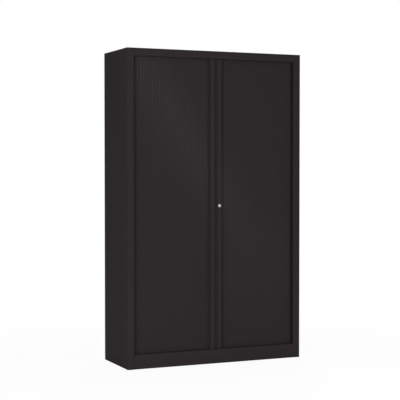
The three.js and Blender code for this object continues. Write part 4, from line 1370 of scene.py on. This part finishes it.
def surround(settings):
    """A world that is white to look at, and lights the object at the level of the fill."""
    world = bpy.data.worlds.new("surround")
    world.use_nodes = True
    tree = world.node_tree
    tree.nodes.clear()
    light = add_node(tree, "ShaderNodeBackground", {"Color": WHITE, "Strength": settings.fill})
    white = add_node(tree, "ShaderNodeBackground", {"Color": WHITE})
    mixed = tree.nodes.new("ShaderNodeMixShader")
    output = tree.nodes.new("ShaderNodeOutputWorld")
    tree.links.new(white_for_the_eye(tree), mixed.inputs["Fac"])
    tree.links.new(light.outputs[0], mixed.inputs[1])
    tree.links.new(white.outputs[0], mixed.inputs[2])
    tree.links.new(mixed.outputs[0], output.inputs["Surface"])
    bpy.context.scene.world = world


def floor_material(settings):
    """A pale floor that keeps a part of the shadow near the cabinet and is plain white far off."""
    material = bpy.data.materials.new("pale_floor")
    material.use_nodes = True
    tree = material.node_tree
    shader = tree.nodes["Principled BSDF"]
    shader.inputs["Base Color"].default_value = (*settings.floor, 1.0)
    shader.inputs["Roughness"].default_value = 1.0
    shader.inputs["Specular IOR Level"].default_value = 0.0
    glow = add_node(tree, "ShaderNodeEmission", {"Color": WHITE, "Strength": 1.0})
    place = tree.nodes.new("ShaderNodeTexCoord")
    far = add_node(tree, "ShaderNodeVectorMath", operation="LENGTH")
    tree.links.new(place.outputs["Object"], far.inputs[0])
    fade = add_node(tree, "ShaderNodeMapRange", {
        "From Min": settings.clear_radius / 2, "From Max": settings.clear_radius,
        "To Min": 1 - settings.shadow, "To Max": 1.0,
    }, interpolation_type="SMOOTHSTEP")
    tree.links.new(far.outputs["Value"], fade.inputs["Value"])
    share_of_glow = maths(tree, "MULTIPLY", fade.outputs[0], white_for_the_eye(tree))
    mixed = tree.nodes.new("ShaderNodeMixShader")
    tree.links.new(share_of_glow, mixed.inputs["Fac"])
    tree.links.new(shader.outputs[0], mixed.inputs[1])
    tree.links.new(glow.outputs[0], mixed.inputs[2])
    tree.links.new(mixed.outputs[0], tree.nodes["Material Output"].inputs["Surface"])
    return material


def floor(settings):
    """A round floor just below the cabinet, as one flat face whose corners are radius x
    (cos(angle), sin(angle))."""
    angle = np.linspace(0, 2 * math.pi, ROUND_STEPS, endpoint=False)
    circle = settings.floor_radius * np.stack([np.cos(angle), np.sin(angle)], axis=1)
    points = np.column_stack([circle, np.full(ROUND_STEPS, -FLOOR_DROP)])
    mesh = bpy.data.meshes.new("floor")
    mesh.from_pydata(points, [], [tuple(range(ROUND_STEPS))])
    mesh.materials.append(floor_material(settings))
    add_object("floor", mesh)


def lamp(name, place, target, size, watts):
    """A rectangular lamp at a place, turned to a target, whose first side stays level."""
    light = bpy.data.lights.new(name, "AREA")
    light.shape = "RECTANGLE"
    light.size, light.size_y = size
    light.energy = watts
    made = add_object(name, light)
    made.location = place
    made.rotation_euler = (Vector(target) - Vector(place)).to_track_quat("-Z", "Y").to_euler()
    made.visible_camera = False
    return made


def slanting_light(settings):
    """A row of long narrow lamps that face the front, and whose mirror image slants across the
    doors."""
    ends = np.linspace(SHEEN_START, SHEEN_END, len(SHEEN_SHARES) + 1)
    across = Vector(ends[-1] - ends[0]).normalized()
    facing = Vector((0, -1, 0))
    turn = Matrix((across, facing.cross(across), facing)).transposed().to_4x4()
    for first, last, part in zip(ends, ends[1:], SHEEN_SHARES):
        middle = Vector((first + last) / 2)
        size = (Vector(last - first).length, SHEEN_WIDTH)
        made = lamp("sheen", middle, middle - facing, size, part * settings.sheen_power)
        made.matrix_world = Matrix.Translation(middle) @ turn


def camera(settings):
    """The camera looks at its aim from a distance, turned by yaw to the left and raised by pitch."""
    aim = Vector((settings.aim_x, span("plinth")[0][1], settings.aim_height))
    back = Vector((
        -math.sin(settings.yaw) * math.cos(settings.pitch),
        -math.cos(settings.yaw) * math.cos(settings.pitch),
        math.sin(settings.pitch),
    ))
    data = bpy.data.cameras.new("camera")
    data.lens = settings.lens
    data.clip_end = 2 * settings.floor_radius
    made = add_object("camera", data)
    made.location = aim + back * settings.distance
    made.rotation_euler = (-back).to_track_quat("-Z", "Y").to_euler()
    bpy.context.scene.camera = made


# Operators: one for each piece or group of like pieces


class CABINET_OT_side_panels(bpy.types.Operator):
    """Builds the two side panels with their stiles and rear flanges"""

    bl_idname = "cabinet.side_panels"
    bl_label = "Side Panels"

    def execute(self, context):
        for word, side in SIDES:
            side_panel(context.scene.cabinet_sheets, word, side)
        return {"FINISHED"}


class CABINET_OT_top_panel(bpy.types.Operator):
    """Builds the top with its rail and rear flange"""

    bl_idname = "cabinet.top_panel"
    bl_label = "Top Panel"

    def execute(self, context):
        top_panel(context.scene.cabinet_sheets)
        return {"FINISHED"}


class CABINET_OT_plinth(bpy.types.Operator):
    """Builds the plinth below the doors"""

    bl_idname = "cabinet.plinth"
    bl_label = "Plinth"

    def execute(self, context):
        plinth(context.scene.cabinet_sheets)
        return {"FINISHED"}


class CABINET_OT_outer_back(bpy.types.Operator):
    """Builds the outer back"""

    bl_idname = "cabinet.outer_back"
    bl_label = "Outer Back"

    def execute(self, context):
        outer_back(context.scene.cabinet_sheets)
        return {"FINISHED"}


class CABINET_OT_inside(bpy.types.Operator):
    """Builds the floor, ceiling, sides and back of the inside"""

    bl_idname = "cabinet.inside"
    bl_label = "Inside Panels"

    def execute(self, context):
        sizes, inside = context.scene.cabinet_sheets, context.scene.cabinet_inside
        for name, flat_on_top in (("floor_panel", True), ("ceiling_panel", False)):
            tray(name, sizes, inside, 0, flat_on_top)
        for word, side in SIDES:
            inner_side(sizes, inside, word, side)
        inner_back(sizes)
        return {"FINISHED"}


class CABINET_OT_shelves(bpy.types.Operator):
    """Builds the four shelves"""

    bl_idname = "cabinet.shelves"
    bl_label = "Shelves"

    def execute(self, context):
        sizes, inside = context.scene.cabinet_sheets, context.scene.cabinet_inside
        for number in SHELVES:
            tray(f"shelf_{number}", sizes, inside, inside.shelf_return, True)
        return {"FINISHED"}


class CABINET_OT_curtains(bpy.types.Operator):
    """Builds the slats of the two curtains"""

    bl_idname = "cabinet.curtains"
    bl_label = "Curtains"

    def execute(self, context):
        for word, side in SIDES:
            curtain(context.scene.cabinet_curtains, word, side)
        return {"FINISHED"}


class CABINET_OT_handles(bpy.types.Operator):
    """Builds the two handles and their end caps"""

    bl_idname = "cabinet.handles"
    bl_label = "Handles"

    def execute(self, context):
        scene = context.scene
        for word, side in SIDES:
            handle(scene.cabinet_handles, scene.cabinet_curtains, scene.cabinet_lock, word, side)
            for level in LEVELS:
                handle_cap(scene.cabinet_handles, scene.cabinet_curtains, word, side, level)
        return {"FINISHED"}


class CABINET_OT_meeting_strips(bpy.types.Operator):
    """Builds the soft strips that close the gap between the handles"""

    bl_idname = "cabinet.meeting_strips"
    bl_label = "Meeting Strips"

    def execute(self, context):
        for word, side in SIDES:
            meeting_strip(context.scene.cabinet_handles, word, side)
        return {"FINISHED"}


class CABINET_OT_lock(bpy.types.Operator):
    """Builds the lock's housing and its core with the keyway"""

    bl_idname = "cabinet.lock"
    bl_label = "Lock"

    def execute(self, context):
        lock_housing(context.scene.cabinet_lock)
        lock_core(context.scene.cabinet_lock)
        return {"FINISHED"}


class CABINET_OT_feet(bpy.types.Operator):
    """Builds the pads and threaded studs of the four feet"""

    bl_idname = "cabinet.feet"
    bl_label = "Feet"

    def execute(self, context):
        for word, _ in SIDES:
            for end in ENDS:
                foot(context.scene.cabinet_feet, end, word)
        return {"FINISHED"}


class CABINET_OT_fittings(bpy.types.Operator):
    """Finishes the pans, tracks, shelf clips, foot sockets and lock fittings as they are"""

    bl_idname = "cabinet.fittings"
    bl_label = "Pans, Tracks and Fittings"

    def execute(self, context):
        words = [word for word, _ in SIDES]
        dress(powder_coat(), ["base_pan", "roof_pan"])
        dress(black_plastic(), [f"{word}_{level}_track" for word in words for level in LEVELS])
        clips = [f"shelf_{i}_clip_{end}_{word}" for i in SHELVES for end in ENDS for word in words]
        sockets = [f"foot_socket_{end}_{word}" for end in ENDS for word in words]
        lock_fittings = ["lock_hook", "lock_hook_screw", "lock_clip", "strike_plate"]
        dress(zinc_plate(), clips + sockets + lock_fittings)
        return {"FINISHED"}


class CABINET_OT_stage(bpy.types.Operator):
    """Lays the floor and sets the lamps, the surround and the camera"""

    bl_idname = "cabinet.stage"
    bl_label = "Floor, Light and Camera"

    def execute(self, context):
        settings = context.scene.cabinet_stage
        context.scene.view_settings.view_transform = "Standard"
        surround(settings)
        floor(settings)
        for name, place, target, size in LAMPS:
            lamp(name, place, target, size, getattr(settings, name + "_power"))
        slanting_light(settings)
        camera(settings)
        return {"FINISHED"}


OPERATORS = (
    CABINET_OT_side_panels,
    CABINET_OT_top_panel,
    CABINET_OT_plinth,
    CABINET_OT_outer_back,
    CABINET_OT_inside,
    CABINET_OT_shelves,
    CABINET_OT_curtains,
    CABINET_OT_handles,
    CABINET_OT_meeting_strips,
    CABINET_OT_lock,
    CABINET_OT_feet,
    CABINET_OT_fittings,
    CABINET_OT_stage,
)

SETTINGS = {
    "cabinet_sheets": CabinetSheets,
    "cabinet_inside": CabinetInside,
    "cabinet_curtains": CabinetCurtains,
    "cabinet_handles": CabinetHandles,
    "cabinet_lock": CabinetLock,
    "cabinet_feet": CabinetFeet,
    "cabinet_finishes": CabinetFinishes,
    "cabinet_stage": CabinetStage,
}


class CABINET_PT_sidebar(bpy.types.Panel):
    """Lists the cabinet's operators and its sizes and colours"""

    bl_idname = "CABINET_PT_sidebar"
    bl_label = "Tambour Door Cabinet"
    bl_space_type = "VIEW_3D"
    bl_region_type = "UI"
    bl_category = "Cabinet"

    def draw(self, context):
        for operator in OPERATORS:
            self.layout.operator(operator.bl_idname)
        for name in SETTINGS:
            group = getattr(context.scene, name)
            box = self.layout.box()
            for key in group.__annotations__:
                box.prop(group, key)


def register():
    """Registers the classes and hangs the settings on the scene."""
    for kind in (*SETTINGS.values(), *OPERATORS, CABINET_PT_sidebar):
        bpy.utils.register_class(kind)
    for name, kind in SETTINGS.items():
        setattr(bpy.types.Scene, name, PointerProperty(type=kind))


def unregister():
    """Takes off again what register puts on."""
    for name in SETTINGS:
        delattr(bpy.types.Scene, name)
    for kind in (CABINET_PT_sidebar, *reversed(OPERATORS), *reversed(SETTINGS.values())):
        bpy.utils.unregister_class(kind)


def main():
    """Builds every piece and the stage."""
    register()
    for operator in OPERATORS:
        getattr(bpy.ops.cabinet, operator.bl_idname.split(".")[1])()


if __name__ == "__main__":
    main()
